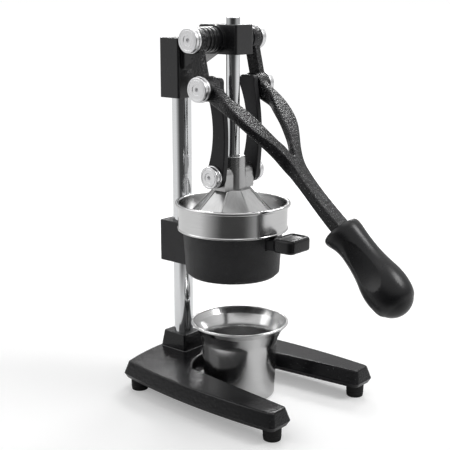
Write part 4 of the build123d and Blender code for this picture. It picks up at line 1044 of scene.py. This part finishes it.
@dataclass
class BaseStand(Assembly):
    """Horseshoe base, feet, column and the hardware below them."""

    edge: float = 1.3 * MM
    edge_steps: int = 3
    foot_r: float = 9.75 * MM
    foot_h: float = 14.5 * MM
    foot_draft: float = 0.6 * MM
    foot_bore: float = 2.5 * MM
    foot_sides: int = 48
    heel_ease: float = 1.2 * MM
    top_ease: float = 0.4 * MM
    groove: float = 0.6 * MM
    groove_levels: tuple[float, ...] = (5.2 * MM, 5.9 * MM, 6.7 * MM, 7.4 * MM)
    groove_eases: Pair = (0.5 * MM, 0.2 * MM)
    recess_r: float = 6.0 * MM
    recess_h: float = 7.0 * MM
    recess_eases: Pair = (0.3 * MM, 0.5 * MM)
    column_r: float = 11.0 * MM
    column_eases: Pair = (0.4 * MM, 1.0 * MM)
    column_sides: int = 96
    base_h: float = 19.4 * MM
    boss_x: float = COLUMN_X - 2.5 * MM
    boss_half: Pair = (19.6 * MM, 16.6 * MM)
    boss_ease: float = 3.0 * MM
    bead_r: float = 0.65 * MM

    def build(self) -> None:
        """Build the base, the feet and the column."""
        bench = self.bench
        casting = bench.eased_copy("base_casting", "base_enamelled", self.edge, self.edge_steps)
        bench.keep(casting, Body.FRAME, "gloss_casting", GLOSS_ENAMEL, "base_casting")
        self.seam()
        self.feet()
        column = upright_bar(
            "column", "column_polished", self.column_r, self.column_eases, COLUMN_X,
            self.column_sides,
        )
        bench.keep(column, Body.FRAME, "chrome_tube", COLUMN_CHROME, "column")
        bench.paint(ZINC, "foot_screws", "column_washer", "column_bolt")

    def seam(self) -> None:
        """Lay the thin bead where the boss meets the base, in lighter paint that is a painted
        highlight.
        """
        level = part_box("base_casting")[0][2] + self.base_h
        centre = Vector((self.boss_x, 0.0, level))
        path = block_loop(centre, self.boss_half, self.boss_ease, 0.0)
        bm = bmesh.new()
        add_tube(bm, path, self.bead_r, Vector((0.0, 0.0, 1.0)), True)
        seam = finish_mesh(bm, "boss_seam")
        self.bench.keep(seam, Body.FRAME, "gloss_casting", SEAM_HIGHLIGHT_ENAMEL)

    def feet(self) -> None:
        """Set one moulded foot at each corner."""
        r, waist = self.foot_r, self.foot_r - self.groove
        below, floor, roof, above = self.groove_levels
        mouth, fold = self.groove_eases
        outline = rounded([
            (self.foot_bore, self.recess_h, 0.0),
            (self.recess_r, self.recess_h, self.recess_eases[0]),
            (self.recess_r, 0.0, self.recess_eases[1]),
            (r - self.foot_draft, 0.0, self.heel_ease),
            (r, below, mouth), (waist, floor, fold), (waist, roof, fold), (r, above, mouth),
            (r, self.foot_h, self.top_ease), (self.foot_bore, self.foot_h, 0.0),
        ])
        shape = turned("foot_shape", outline, Vector(), sides=self.foot_sides)
        spots = self.foot_spots()
        turns = [Vector() for _ in spots]
        rubber = self.bench.material(BLACK_RUBBER)
        feet = self.bench.repeater.lay("feet_moulded", shape, spots, turns, rubber)
        self.bench.keep(feet, Body.FRAME, "rubber", BLACK_RUBBER, "rubber_feet")

    def foot_spots(self) -> list[Vector]:
        """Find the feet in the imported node.

        Returns:
            The floor point of each foot.
        """
        middle = self.bench.pivot("rubber_feet")
        source = self.bench.frame["nodes"]["rubber_feet"]
        feet: dict[tuple[bool, bool], list[Vector]] = {}
        for vertex in source.data.vertices:
            spot = source.matrix_world @ vertex.co
            feet.setdefault((spot.x > middle.x, spot.y > middle.y), []).append(spot)
        spots = []
        for key in sorted(feet):
            xs, ys = [p.x for p in feet[key]], [p.y for p in feet[key]]
            spots.append(Vector(((min(xs) + max(xs)) / 2, (min(ys) + max(ys)) / 2, 0.0)))
        return spots


@dataclass
class HeadBlock(Assembly):
    """Head casting, spacer bushes and the top pivot."""

    edge: float = 1.2 * MM
    edge_steps: int = 3
    bush_bore: float = 6.0 * MM
    ring_count: int = 4
    ring_ease: float = 0.5 * MM
    ring_steps: int = 3
    groove: float = 1.2 * MM
    groove_half: Pair = (0.55 * MM, 1.1 * MM)
    groove_ease: float = 0.2 * MM

    def build(self) -> None:
        """Build the head, its bushes and the pivot."""
        bench = self.bench
        casting = bench.eased_copy("head_casting", "head_enamelled", self.edge, self.edge_steps)
        bench.keep(casting, Body.FRAME, "satin_casting", SATIN_ENAMEL, "head_casting")
        bench.paint(ZINC, "head_screw")
        self.bushes("upper_spacer_bushes")
        PivotSet(bench, "upper_pivot_washers", "upper_pivot_bolts", Body.FRAME).build()

    def bushes(self, node: str) -> None:
        """Turn the ringed bush on each side.

        Args:
            node: Packed bushes.
        """
        centre = self.bench.pivot(node)
        low, high = corners_of(node)
        bush_r, outer = (high.x - low.x) / 2, high.y
        inner = min(abs(v.co.y) for v in self.bench.frame["nodes"][node].data.vertices)
        pitch = (outer - inner) / self.ring_count
        waist, (floor, mouth) = bush_r - self.groove, self.groove_half
        corners = [(self.bush_bore, inner, 0.0), (bush_r, inner, self.ring_ease)]
        for ring in range(1, self.ring_count):
            corners += measured(0.0, inner + ring * pitch, [
                (bush_r, -mouth, self.ring_ease), (waist, -floor, self.groove_ease),
                (waist, floor, self.groove_ease), (bush_r, mouth, self.ring_ease),
            ])
        corners += [(bush_r, outer, self.ring_ease), (self.bush_bore, outer, 0.0)]
        outline = rounded(corners, self.ring_steps)
        hub = Vector((centre.x, 0.0, centre.z))
        piece = turned("bushes_ringed", outline, hub, Line.ACROSS)
        self.bench.keep(piece, Body.FRAME, "spacer_black", BUSH_OXIDE, node)


@dataclass
class HandLever(Assembly):
    """Forked lever, hand grip and middle pivots."""

    edge: float = 0.7 * MM
    grip_edge: float = 1.6 * MM
    grip_steps: int = 4

    def build(self) -> None:
        """Build the lever, its grip and the pivots."""
        bench = self.bench
        casting = bench.eased_copy("lever_casting", "lever_enamelled", self.edge)
        bench.keep(casting, Body.LEVER, "hammer_paint", HAMMER_ENAMEL, "lever_casting")
        grip = bench.eased_copy("lever_grip", "grip_moulded", self.grip_edge, self.grip_steps)
        bench.keep(grip, Body.LEVER, "grip_plastic", GRIP_PLASTIC, "lever_grip")
        PivotSet(bench, "middle_pivot_washers", "middle_pivot_bolts", Body.LEVER).build()


@dataclass
class LinkPair(Assembly):
    """Bowed links on both sides."""

    edge: float = 0.4 * MM

    def build(self) -> None:
        """Build both links and paint their pins."""
        for node in ("link_right", "link_left"):
            plate = self.bench.eased_copy(node, node + "_painted", self.edge)
            self.bench.keep(plate, Body.LINKS, "link_paint", LINK_ENAMEL, node)
        self.bench.paint(ZINC, "link_upper_pins")


class BellShape:
    """Geometry Nodes tree of a hollow faceted bell with ridges on its edges."""

    ROUND_SIDES = 96
    RIDGE_SIDES = 12
    SHELL = ("Under Radius", "Top Radius", "Height")
    HOLLOW = ("Hollow Under", "Hollow Top", "Hollow Height")

    def __init__(self) -> None:
        """Build the tree once."""
        sizes = dict.fromkeys((*self.SHELL, *self.HOLLOW, "Ridge"), "Float")
        inputs = {"Geometry": "Geometry", "Sides": "Int", **sizes}
        inputs |= {"Place": "Vector", "Finish": "Material"}
        outputs = {"Geometry": "Geometry"}
        graph, given = new_group("GeometryNodeTree", "faceted_bell", inputs, outputs)
        self.tree = graph.tree
        step = graph.sum("DIVIDE", FULL_TURN, given["Sides"])
        half = graph.sum("MULTIPLY", step, 0.5)
        cones = []
        for sides, sizes in ((given["Sides"], self.SHELL), (self.ROUND_SIDES, self.HOLLOW)):
            under, top, height = (given[size] for size in sizes)
            cones.append(graph.add("GeometryNodeMeshCone", {
                "Vertices": sides, "Radius Bottom": under, "Radius Top": top, "Depth": height,
            }).outputs[0])
        spin = graph.add("ShaderNodeCombineXYZ", {"Z": half}).outputs[0]
        shell = graph.add("GeometryNodeTransform", {"Geometry": cones[0], "Rotation": spin})
        feeds = {"Mesh 1": shell.outputs[0], "Mesh 2": cones[1]}
        cut = graph.add("GeometryNodeMeshBoolean", feeds, operation="DIFFERENCE")
        ribs = self.ribs(graph, given, step, half)
        joined = graph.add("GeometryNodeJoinGeometry", {0: cut.outputs[0]})
        graph.tree.links.new(ribs, joined.inputs[0])
        feeds = {"Geometry": joined.outputs[0], "Translation": given["Place"]}
        moved = graph.add("GeometryNodeTransform", feeds)
        real = graph.add("GeometryNodeRealizeInstances", {"Geometry": moved.outputs[0]})
        feeds = {"Geometry": real.outputs[0], "Material": given["Finish"]}
        dressed = graph.add("GeometryNodeSetMaterial", feeds)
        graph.add("NodeGroupOutput", {"Geometry": dressed.outputs[0]})

    def ribs(
        self, graph: Graph, given: bpy.types.NodeOutputs, step: Socket, half: Socket
    ) -> Socket:
        """Add a round ridge along every edge of the bell.

        Args:
            graph: Graph of the tree.
            given: Inputs of the tree.
            step: Turn from one edge to the next.
            half: Turn of the first edge.

        Returns:
            The ridges as instances.
        """
        foot = graph.add("ShaderNodeCombineXYZ", {"X": given["Under Radius"]}).outputs[0]
        feeds = {"X": given["Top Radius"], "Z": given["Height"]}
        crown = graph.add("ShaderNodeCombineXYZ", feeds).outputs[0]
        line = graph.add("GeometryNodeCurvePrimitiveLine", {"Start": foot, "End": crown})
        feeds = {"Resolution": self.RIDGE_SIDES, "Radius": given["Ridge"]}
        section = graph.add("GeometryNodeCurvePrimitiveCircle", feeds)
        rib = graph.add("GeometryNodeCurveToMesh", {
            "Curve": line.outputs[0], "Profile Curve": section.outputs[0], "Fill Caps": True,
        })
        spots = graph.add("GeometryNodePoints", {"Count": given["Sides"]})
        place = graph.add("GeometryNodeInputIndex").outputs[0]
        turn = graph.sum("ADD", graph.sum("MULTIPLY", place, step), half)
        facing = graph.add("ShaderNodeCombineXYZ", {"Z": turn}).outputs[0]
        feeds = {"Points": spots.outputs[0], "Instance": rib.outputs[0], "Rotation": facing}
        return graph.add("GeometryNodeInstanceOnPoints", feeds).outputs[0]

    def build(self, name: str, sizes: dict[str, object]) -> bpy.types.Object:
        """Build a bell as a plain mesh.

        Args:
            name: Name of the new object.
            sizes: Value of each named input.

        Returns:
            The new object.
        """
        made = new_object(name, bpy.data.meshes.new(name))
        run_tree(made, self.tree, sizes)
        made.data.shade_smooth()
        made.data.set_sharp_from_angle(angle=FACET_ANGLE)
        return made


@dataclass
class Plunger(Assembly):
    """Guide rod, yoke, lower pivots and the pressing bell."""

    edge: float = 0.7 * MM
    rod_r: float = 7.4 * MM
    rod_eases: Pair = (0.4 * MM, 1.2 * MM)
    rod_sides: int = 72
    pivot_ring_w: float = 0.4 * MM
    pivot_ring_h: float = 0.3 * MM
    bell_sides: int = 8
    bell_wall: float = 3.2 * MM
    bell_top: float = 18.5 * MM
    bell_crown: float = 5.0 * MM
    hollow_top: float = 15.0 * MM
    ridge: float = 0.9 * MM

    def build(self) -> None:
        """Build the rod, the yoke, the pivots and the bell."""
        bench = self.bench
        rod = upright_bar(
            "plunger_rod", "rod_polished", self.rod_r, self.rod_eases, AXIS_X, self.rod_sides
        )
        bench.keep(rod, Body.PLUNGER, "chrome_tube", ROD_CHROME, "plunger_rod")
        yoke = bench.eased_copy("plunger_yoke", "yoke_cast", self.edge)
        bench.keep(yoke, Body.PLUNGER, "cast_alloy", CAST_ALLOY, "plunger_yoke")
        PivotSet(
            bench, "lower_pivot_washers", "lower_pivot_bolts", Body.PLUNGER,
            ring_h=self.pivot_ring_h, ring_w=self.pivot_ring_w,
        ).build()
        self.bell()
        bench.paint(ZINC, "bell_screw")

    def bell(self) -> None:
        """Build the faceted bell."""
        low, high = corners_of("press_bell")
        corner = 1.0 / math.cos(math.pi / self.bell_sides)
        flat = (high.x - low.x) / 2
        height = high.z - low.z
        bell = BellShape().build("bell_faceted", {
            "Sides": self.bell_sides,
            "Under Radius": flat * corner,
            "Top Radius": self.bell_top * corner,
            "Height": height,
            "Hollow Under": flat - self.bell_wall,
            "Hollow Top": self.hollow_top,
            "Hollow Height": height - self.bell_crown,
            "Ridge": self.ridge,
            "Place": (AXIS_X, 0.0, low.z),
            "Finish": self.bench.material(CAST_ALLOY),
        })
        self.bench.keep(bell, Body.PLUNGER, "cast_alloy", CAST_ALLOY, "press_bell")


@dataclass
class BowlHolder(Assembly):
    """Textured casting that carries the strainer bowl."""

    edge: float = 0.8 * MM
    under_r: float = 52.2 * MM
    top_r: float = 55.2 * MM
    bracket_half: float = 17.0 * MM
    seam_levels: Pair = (143.0 * MM, 186.5 * MM)
    seam_r: float = 0.55 * MM
    seam_points: int = 60
    wave_h: float = 0.25 * MM
    wave_steps: Triple = (2.3, 0.7, 0.4)

    def build(self) -> None:
        """Build the holder casting and its seams."""
        casting = self.bench.eased_copy("holder_casting", "holder_enamelled", self.edge)
        self.bench.keep(
            casting, Body.FRAME, "textured_casting", TEXTURED_ENAMEL, "holder_casting"
        )
        self.seams()
        self.bench.paint(ZINC, "holder_set_screw")

    def seams(self) -> None:
        """Lay the uneven bead where each side of the bracket meets the round wall, in lighter paint
        that is a painted highlight.
        """
        low, high = corners_of("holder_casting")
        start, end = self.seam_levels
        quick, slow, shift = self.wave_steps
        bm = bmesh.new()
        for side in (-1, 1):
            path = []
            for k in range(self.seam_points + 1):
                z = start + k / self.seam_points * (end - start)
                share = (z - low.z) / (high.z - low.z)
                wall = self.under_r + share * (self.top_r - self.under_r)
                wave = self.wave_h * math.sin(quick * k) * math.sin(slow * k + shift)
                x = AXIS_X - math.sqrt(wall**2 - self.bracket_half**2) + wave
                path.append(Vector((x, side * (self.bracket_half + wave / 2), z)))
            add_tube(bm, path, self.seam_r, Vector((1.0, 0.0, 0.0)), False)
        seams = finish_mesh(bm, "holder_seams")
        self.bench.keep(seams, Body.FRAME, "textured_casting", SEAM_HIGHLIGHT_ENAMEL)


@dataclass
class StrainerBowl(Assembly):
    """Pressed steel bowl, perforated cone and finger handle.

    The sizes of the bowl and the cone are in millimetres. Rows of an outline give the radius and
    the level from the edge that they are named for, and the corner radius.
    """

    sheet: float = 1.2
    band_r: float = 60.6
    rim_top: float = 220.0
    mouth_ease: float = 1.6
    rim_rows: tuple[Triple, ...] = ((3.4, 0.0, 1.7), (3.4, -3.9, 1.7), (0.0, -3.2, 0.8))
    seat: float = 189.0
    seat_rows: tuple[Triple, ...] = (
        (0.0, 2.9, 0.5), (0.7, 2.2, 0.5), (0.7, 0.9, 0.6), (-0.6, 0.0, 0.5),
    )
    seat_eases: Pair = (0.5, 2.2)
    well_r: float = 48.8
    well_under: float = 167.0
    well_eases: Pair = (3.0, 2.0)
    spout_r: float = 14.0
    spout_levels: Pair = (152.0, 129.0)
    spout_eases: Pair = (2.0, 0.3)
    bowl_sides: int = 144
    bowl_steps: int = 6
    hole_rings: tuple[float, ...] = (0.34, 0.50, 0.66, 0.81, 0.93)
    hole_pitch: float = 9.2
    hole_rim_r: float = 1.82
    hole_lip: float = 0.22
    hole_sides: int = 14
    lip_sides: int = 6
    cone_r: float = 44.0
    cone_slope: Pair = (9.0, 45.0)
    cone_levels: Pair = (215.0, 191.2)
    neck_ease: float = 1.0 * MM
    neck_ease_steps: int = 3
    neck_step: float = 0.8 * MM
    neck_drop: float = 4.2 * MM
    handle_ease: float = 7.0 * MM
    handle_least_ease: float = 1.6 * MM
    handle_under: float = 3.0 * MM
    handle_over: float = 3.8 * MM
    handle_flat: float = 1.6
    handle_steps: int = 6
    dish_rows: tuple[Pair, ...] = (
        (0.6 * MM, 0.05 * MM), (1.0 * MM, 0.5 * MM), (1.5 * MM, 1.2 * MM), (2.6 * MM, 1.5 * MM),
    )

    def build(self) -> None:
        """Build the bowl, the cone and the handle."""
        self.bowl()
        cone = self.bench.eased_copy("strainer_cone", "cone_pierced", 0.0)
        self.bench.keep(cone, Body.FRAME, "stainless", STAINLESS, "strainer_cone")
        self.hole_rims()
        self.neck()
        self.handle()
        self.bench.paint(ZINC, "handle_screw")

    def bowl(self) -> None:
        """Turn the bowl with its rolled rim."""
        t, seat, well, under = self.sheet, self.seat, self.well_r, self.well_under
        spout, (spout_top, spout_end) = self.spout_r, self.spout_levels
        turn_ease, end_ease = self.spout_eases
        corners = [
            (self.band_r - t, self.rim_top, self.mouth_ease),
            *measured(self.band_r, self.rim_top, self.rim_rows),
            *measured(self.band_r, seat, self.seat_rows),
            (well, seat, self.seat_eases[0]), (well, under, self.well_eases[0]),
            (spout, spout_top, turn_ease), (spout, spout_end, end_ease),
            (spout - t, spout_end, end_ease), (spout - t, spout_top + t, turn_ease),
            (well - t, under + t, self.well_eases[1]), (well - t, seat + t, self.seat_eases[0]),
            (self.band_r - t, seat + t, self.seat_eases[1]),
        ]
        outline = [(x * MM, z * MM) for x, z in rounded(corners, self.bowl_steps)]
        bowl = turned("bowl_pressed", outline, Vector((AXIS_X, 0.0, 0.0)), sides=self.bowl_sides)
        self.bench.keep(bowl, Body.FRAME, "stainless", STAINLESS, "strainer_bowl")

    def hole_rims(self) -> None:
        """Set a pressed rim round every hole of the cone."""
        rim, lip = self.hole_rim_r * MM, self.hole_lip * MM
        angles = [k * FULL_TURN / self.lip_sides for k in range(self.lip_sides)]
        outline = [(rim + lip * math.cos(a), lip * math.sin(a)) for a in angles]
        shape = turned("hole_rim_shape", outline, Vector(), sides=self.hole_sides)
        (top_r, foot_r), (top_z, foot_z) = self.cone_slope, self.cone_levels
        tilt = Matrix.Rotation(math.atan2(top_z - foot_z, foot_r - top_r), 3, "Y")
        spots, turns = [], []
        for share in self.hole_rings:
            ring = share * self.cone_r
            count = int(FULL_TURN * ring / self.hole_pitch)
            level = foot_z + (foot_r - ring) * (top_z - foot_z) / (foot_r - top_r)
            for k in range(count):
                way = FULL_TURN * k / count
                x, y = ring * MM * math.cos(way), ring * MM * math.sin(way)
                spots.append(Vector((AXIS_X + x, y, level * MM)))
                turns.append(Vector((Matrix.Rotation(way, 3, "Z") @ tilt).to_euler()))
        steel = self.bench.material(STAINLESS)
        rims = self.bench.repeater.lay("cone_hole_rims", shape, spots, turns, steel)
        rims.data.shade_smooth()
        self.bench.keep(rims, Body.FRAME, "stainless", STAINLESS)

    def neck(self) -> None:
        """Copy the neck and deepen it between the bowl and the finger grip."""
        node = "handle_strap"
        piece = self.bench.eased_copy(node, "neck_painted", self.neck_ease, self.neck_ease_steps)
        middle = self.bench.pivot(node).z
        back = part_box("bowl_handle_grip")[0][0]
        bm = bmesh.new()
        bm.from_mesh(piece.data)
        for x in (back + self.neck_step, back + 2 * self.neck_step):
            whole = [*bm.verts, *bm.edges, *bm.faces]
            bmesh.ops.bisect_plane(
                bm, geom=whole, plane_co=(x, 0.0, 0.0), plane_no=(1.0, 0.0, 0.0)
            )
        for vertex in bm.verts:
            if vertex.co.x < back + 1.5 * self.neck_step and vertex.co.z < middle:
                vertex.co.z -= self.neck_drop
        bm.to_mesh(piece.data)
        bm.free()
        self.bench.keep(piece, Body.FRAME, "link_paint", LINK_ENAMEL, node)

    def handle(self) -> None:
        """Loft the finger grip with a dished top."""
        low, high = corners_of("bowl_handle_grip")
        middle, half = (low + high) / 2, (high - low) / 2
        bm = bmesh.new()
        loops = []
        for inset, level in self.handle_levels(half.z):
            ease = max(self.handle_ease - inset, self.handle_least_ease)
            points = block_loop(middle, (half.x - inset, half.y - inset), ease, level)
            loops.append([bm.verts.new(p) for p in points])
        bridge(bm, loops, False)
        grip = finish_mesh(bm, "handle_moulded")
        self.bench.keep(grip, Body.FRAME, "grip_plastic", GRIP_PLASTIC, "bowl_handle_grip")

    def handle_levels(self, half: float) -> list[Pair]:
        """Lay out every level of the finger grip.

        Args:
            half: Half height of the grip.

        Returns:
            Pairs of inset and height, from the underside to the dish.
        """
        under, over = self.handle_under, self.handle_over
        turns = [k / self.handle_steps * QUARTER_TURN for k in range(self.handle_steps + 1)]
        levels = [(under * self.handle_flat, -half)]
        levels += [(under * (1 - math.sin(t)), -half + under * (1 - math.cos(t))) for t in turns]
        levels += [(over * (1 - math.cos(t)), half - over * (1 - math.sin(t))) for t in turns]
        return levels + [(over + inset, half - depth) for inset, depth in self.dish_rows]


@dataclass
class JuiceCup(Assembly):
    """Spun steel cup with a flared mouth and a rolled lip.

    The sizes are in millimetres. Rows of the outline give the radius and the level from the
    foot's edge, the neck or the rim, and the corner radius. Inside rows start one sheet further in.
    """

    sheet: float = 1.0
    foot_r: float = 39.5
    neck_r: float = 43.0
    neck_z: float = 72.0
    rim_r: float = 54.5
    top: float = 85.0
    under_h: float = 1.0
    inside_h: float = 1.2
    foot_rows: tuple[Triple, ...] = ((-6.0, 1.0, 0.6), (-4.6, 0.0, 0.6), (0.0, 0.0, 2.6))
    neck_rows: tuple[Triple, ...] = ((-0.4, -7.0, 16.0), (5.4, 4.6, 12.0))
    lip_rows: tuple[Triple, ...] = (
        (-1.2, -2.9, 0.5), (0.0, -2.4, 0.9), (0.0, 0.0, 1.2), (-2.6, 0.0, 1.2), (-2.9, -1.6, 0.6),
    )
    inside_neck_rows: tuple[Triple, ...] = ((5.9, 5.6, 12.0), (-0.4, -6.6, 16.0))
    inside_foot_rows: tuple[Triple, ...] = ((0.0, 0.0, 2.4), (-3.2, 0.2, 0.6), (-5.4, 1.2, 0.6))
    corner_steps: int = 8
    sides: int = 144

    def build(self) -> None:
        """Turn the cup."""
        t = self.sheet
        corners = [
            (0.0, self.under_h, 0.0),
            *measured(self.foot_r, 0.0, self.foot_rows),
            *measured(self.neck_r, self.neck_z, self.neck_rows),
            *measured(self.rim_r, self.top, self.lip_rows),
            *measured(self.neck_r - t, self.neck_z, self.inside_neck_rows),
            *measured(self.foot_r - t, t, self.inside_foot_rows),
            (0.0, t + self.inside_h, 0.0),
        ]
        points = rounded(corners, self.corner_steps, closed=False)
        outline = [(x * MM, z * MM) for x, z in points]
        cup = turned("cup_spun", outline, Vector((CUP_X, 0.0, 0.0)), sides=self.sides)
        self.bench.keep(cup, Body.CUP, "stainless", CUP_STEEL, "collecting_cup")


@dataclass(frozen=True)
class Lamp:
    """Soft rectangular lamp."""

    name: str
    spot: Triple
    wide: float
    deep: float
    power: float

    def hang(self, aim: Vector) -> None:
        """Hang the lamp so that it shines at a point, out of the camera's sight.

        Args:
            aim: Point that it shines at.
        """
        data = bpy.data.lights.new(self.name, "AREA")
        data.shape = "RECTANGLE"
        data.size, data.size_y, data.energy = self.wide, self.deep, self.power
        lamp = new_object(self.name, data)
        lamp.location = self.spot
        lamp.rotation_euler = (aim - Vector(self.spot)).to_track_quat("-Z", "Y").to_euler()
        lamp.visible_camera = False


@dataclass
class Studio:
    """Pale floor, soft lamps, backdrop light and the camera."""

    eye: Triple = (0.6280, -0.8090, 0.4417)
    pitch: float = 76.82
    yaw: float = 40.89
    lens: float = 78.81
    sensor: float = 36.0
    far_clip: float = 200.0
    aim: Triple = (-0.04, 0.0, 0.2)
    floor_size: float = 80.0
    floor_grey: float = 0.78
    near_glow: float = 0.30
    far_glow: float = 0.80
    glow_reach: Pair = (0.5, 2.2)
    ambient: float = 0.35
    mirror: float = 0.8
    shade: float = 0.06
    dark_side: Pair = (0.35, 0.92)
    mirror_reach: Pair = (0.20, 0.40)
    horizon: float = 0.55
    horizon_reach: Pair = (0.15, 0.55)
    lamps: tuple[Lamp, ...] = (
        Lamp("key", (0.95, 0.55, 1.25), 0.6, 0.5, 9.0),
        Lamp("fill", (-0.95, -0.75, 0.95), 1.0, 0.8, 3.0),
        Lamp("top", (-0.05, 0.1, 1.5), 0.9, 0.9, 3.5),
        Lamp("rim", (-0.95, 0.98, 0.92), 0.36, 0.3, 5.0),
        Lamp("back", (-0.42, 1.18, 1.16), 0.4, 0.3, 5.0),
    )

    def build(self) -> None:
        """Build the whole studio."""
        self.floor()
        for lamp in self.lamps:
            lamp.hang(Vector(self.aim))
        self.world()
        self.camera()

    def surround(self, graph: Graph, way: Socket) -> Socket:
        """Return how bright the surroundings look in metal along a direction.

        Args:
            graph: Graph of the floor or of the world.
            way: Direction from the press.

        Returns:
            A brightness that is pale all round and dark beside the camera.
        """
        toward = Vector((self.eye[0], self.eye[1], 0.0)).normalized()
        level = graph.vector("NORMALIZE", way).outputs[0]
        facing = graph.vector("DOT_PRODUCT", level, tuple(toward)).outputs["Value"]
        return graph.span(facing, self.mirror, self.shade, *self.dark_side)

    @staticmethod
    def bent(graph: Graph, path: bpy.types.NodeOutputs) -> Socket:
        """Return whether a ray comes from metal or glass."""
        return graph.sum("MAXIMUM", path["Is Glossy Ray"], path["Is Transmission Ray"])

    def floor(self) -> None:
        """Lay the pale floor, white to the camera but for the shadow."""
        bm = bmesh.new()
        bmesh.ops.create_grid(bm, x_segments=2, y_segments=2, size=self.floor_size / 2)
        made = new_object("floor", plain_mesh(bm, "floor"))
        paint = bpy.data.materials.new("floor_white")
        paint.use_nodes = True
        paint.node_tree.nodes.clear()
        graph = Graph(paint.node_tree)
        path = graph.add("ShaderNodeLightPath").outputs
        place = graph.add("ShaderNodeTexCoord").outputs["Object"]
        away = graph.vector("LENGTH", place).outputs["Value"]
        glow = graph.span(away, self.near_glow, self.far_glow, *self.glow_reach)
        seen = graph.sum("MULTIPLY", glow, path["Is Camera Ray"])
        shine = graph.add("ShaderNodeEmission", {"Color": WHITE, "Strength": seen})
        matt = graph.add("ShaderNodeBsdfDiffuse", {"Color": (*(self.floor_grey,) * 3, 1.0)})
        plain = graph.add("ShaderNodeAddShader", {0: matt.outputs[0], 1: shine.outputs[0]})
        feeds = {"Color": WHITE, "Strength": self.surround(graph, place)}
        mirrored = graph.add("ShaderNodeEmission", feeds)
        far = graph.span(away, 0.0, 1.0, *self.mirror_reach)
        beyond = graph.sum("MULTIPLY", self.bent(graph, path), far)
        feeds = {0: beyond, 1: plain.outputs[0], 2: mirrored.outputs[0]}
        both = graph.add("ShaderNodeMixShader", feeds)
        graph.add("ShaderNodeOutputMaterial", {"Surface": both.outputs[0]})
        made.data.materials.append(paint)
        made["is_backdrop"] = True

    def world(self) -> None:
        """Light the surroundings: white behind, darker on the camera's side."""
        world = bpy.data.worlds.new("studio")
        bpy.context.scene.world = world
        world.use_nodes = True
        world.node_tree.nodes.clear()
        graph = Graph(world.node_tree)
        path = graph.add("ShaderNodeLightPath").outputs
        way = graph.add("ShaderNodeTexCoord").outputs["Generated"]
        rise = graph.add("ShaderNodeSeparateXYZ", {0: way}).outputs["Z"]
        lift = graph.span(rise, 0.0, 1.0, *self.horizon_reach)
        low = graph.sum("MULTIPLY", self.surround(graph, way), self.horizon)
        above = graph.mix(lift, low, self.mirror)
        level = graph.mix(self.bent(graph, path), self.ambient, above)
        level = graph.mix(path["Is Camera Ray"], level, 1.0)
        light = graph.add("ShaderNodeBackground", {"Color": WHITE, "Strength": level})
        graph.add("ShaderNodeOutputWorld", {"Surface": light.outputs[0]})

    def camera(self) -> None:
        """Set the camera at the viewing angle."""
        data = bpy.data.cameras.new("camera")
        data.lens, data.sensor_width, data.clip_end = self.lens, self.sensor, self.far_clip
        eye = new_object("camera", data)
        eye.location = self.eye
        eye.rotation_euler = (math.radians(self.pitch), 0.0, math.radians(self.yaw))
        bpy.context.scene.camera = eye
        bpy.context.scene.view_settings.view_transform = "Standard"


def main() -> None:
    """Build every sub-assembly in order, then the studio."""
    logging.basicConfig(level=logging.INFO, format="%(name)s %(message)s")
    bench = Bench()
    BaseStand(bench).build()
    HeadBlock(bench).build()
    HandLever(bench).build()
    LinkPair(bench).build()
    Plunger(bench).build()
    BowlHolder(bench).build()
    StrainerBowl(bench).build()
    JuiceCup(bench).build()
    Studio().build()


if __name__ == "__main__":
    main()
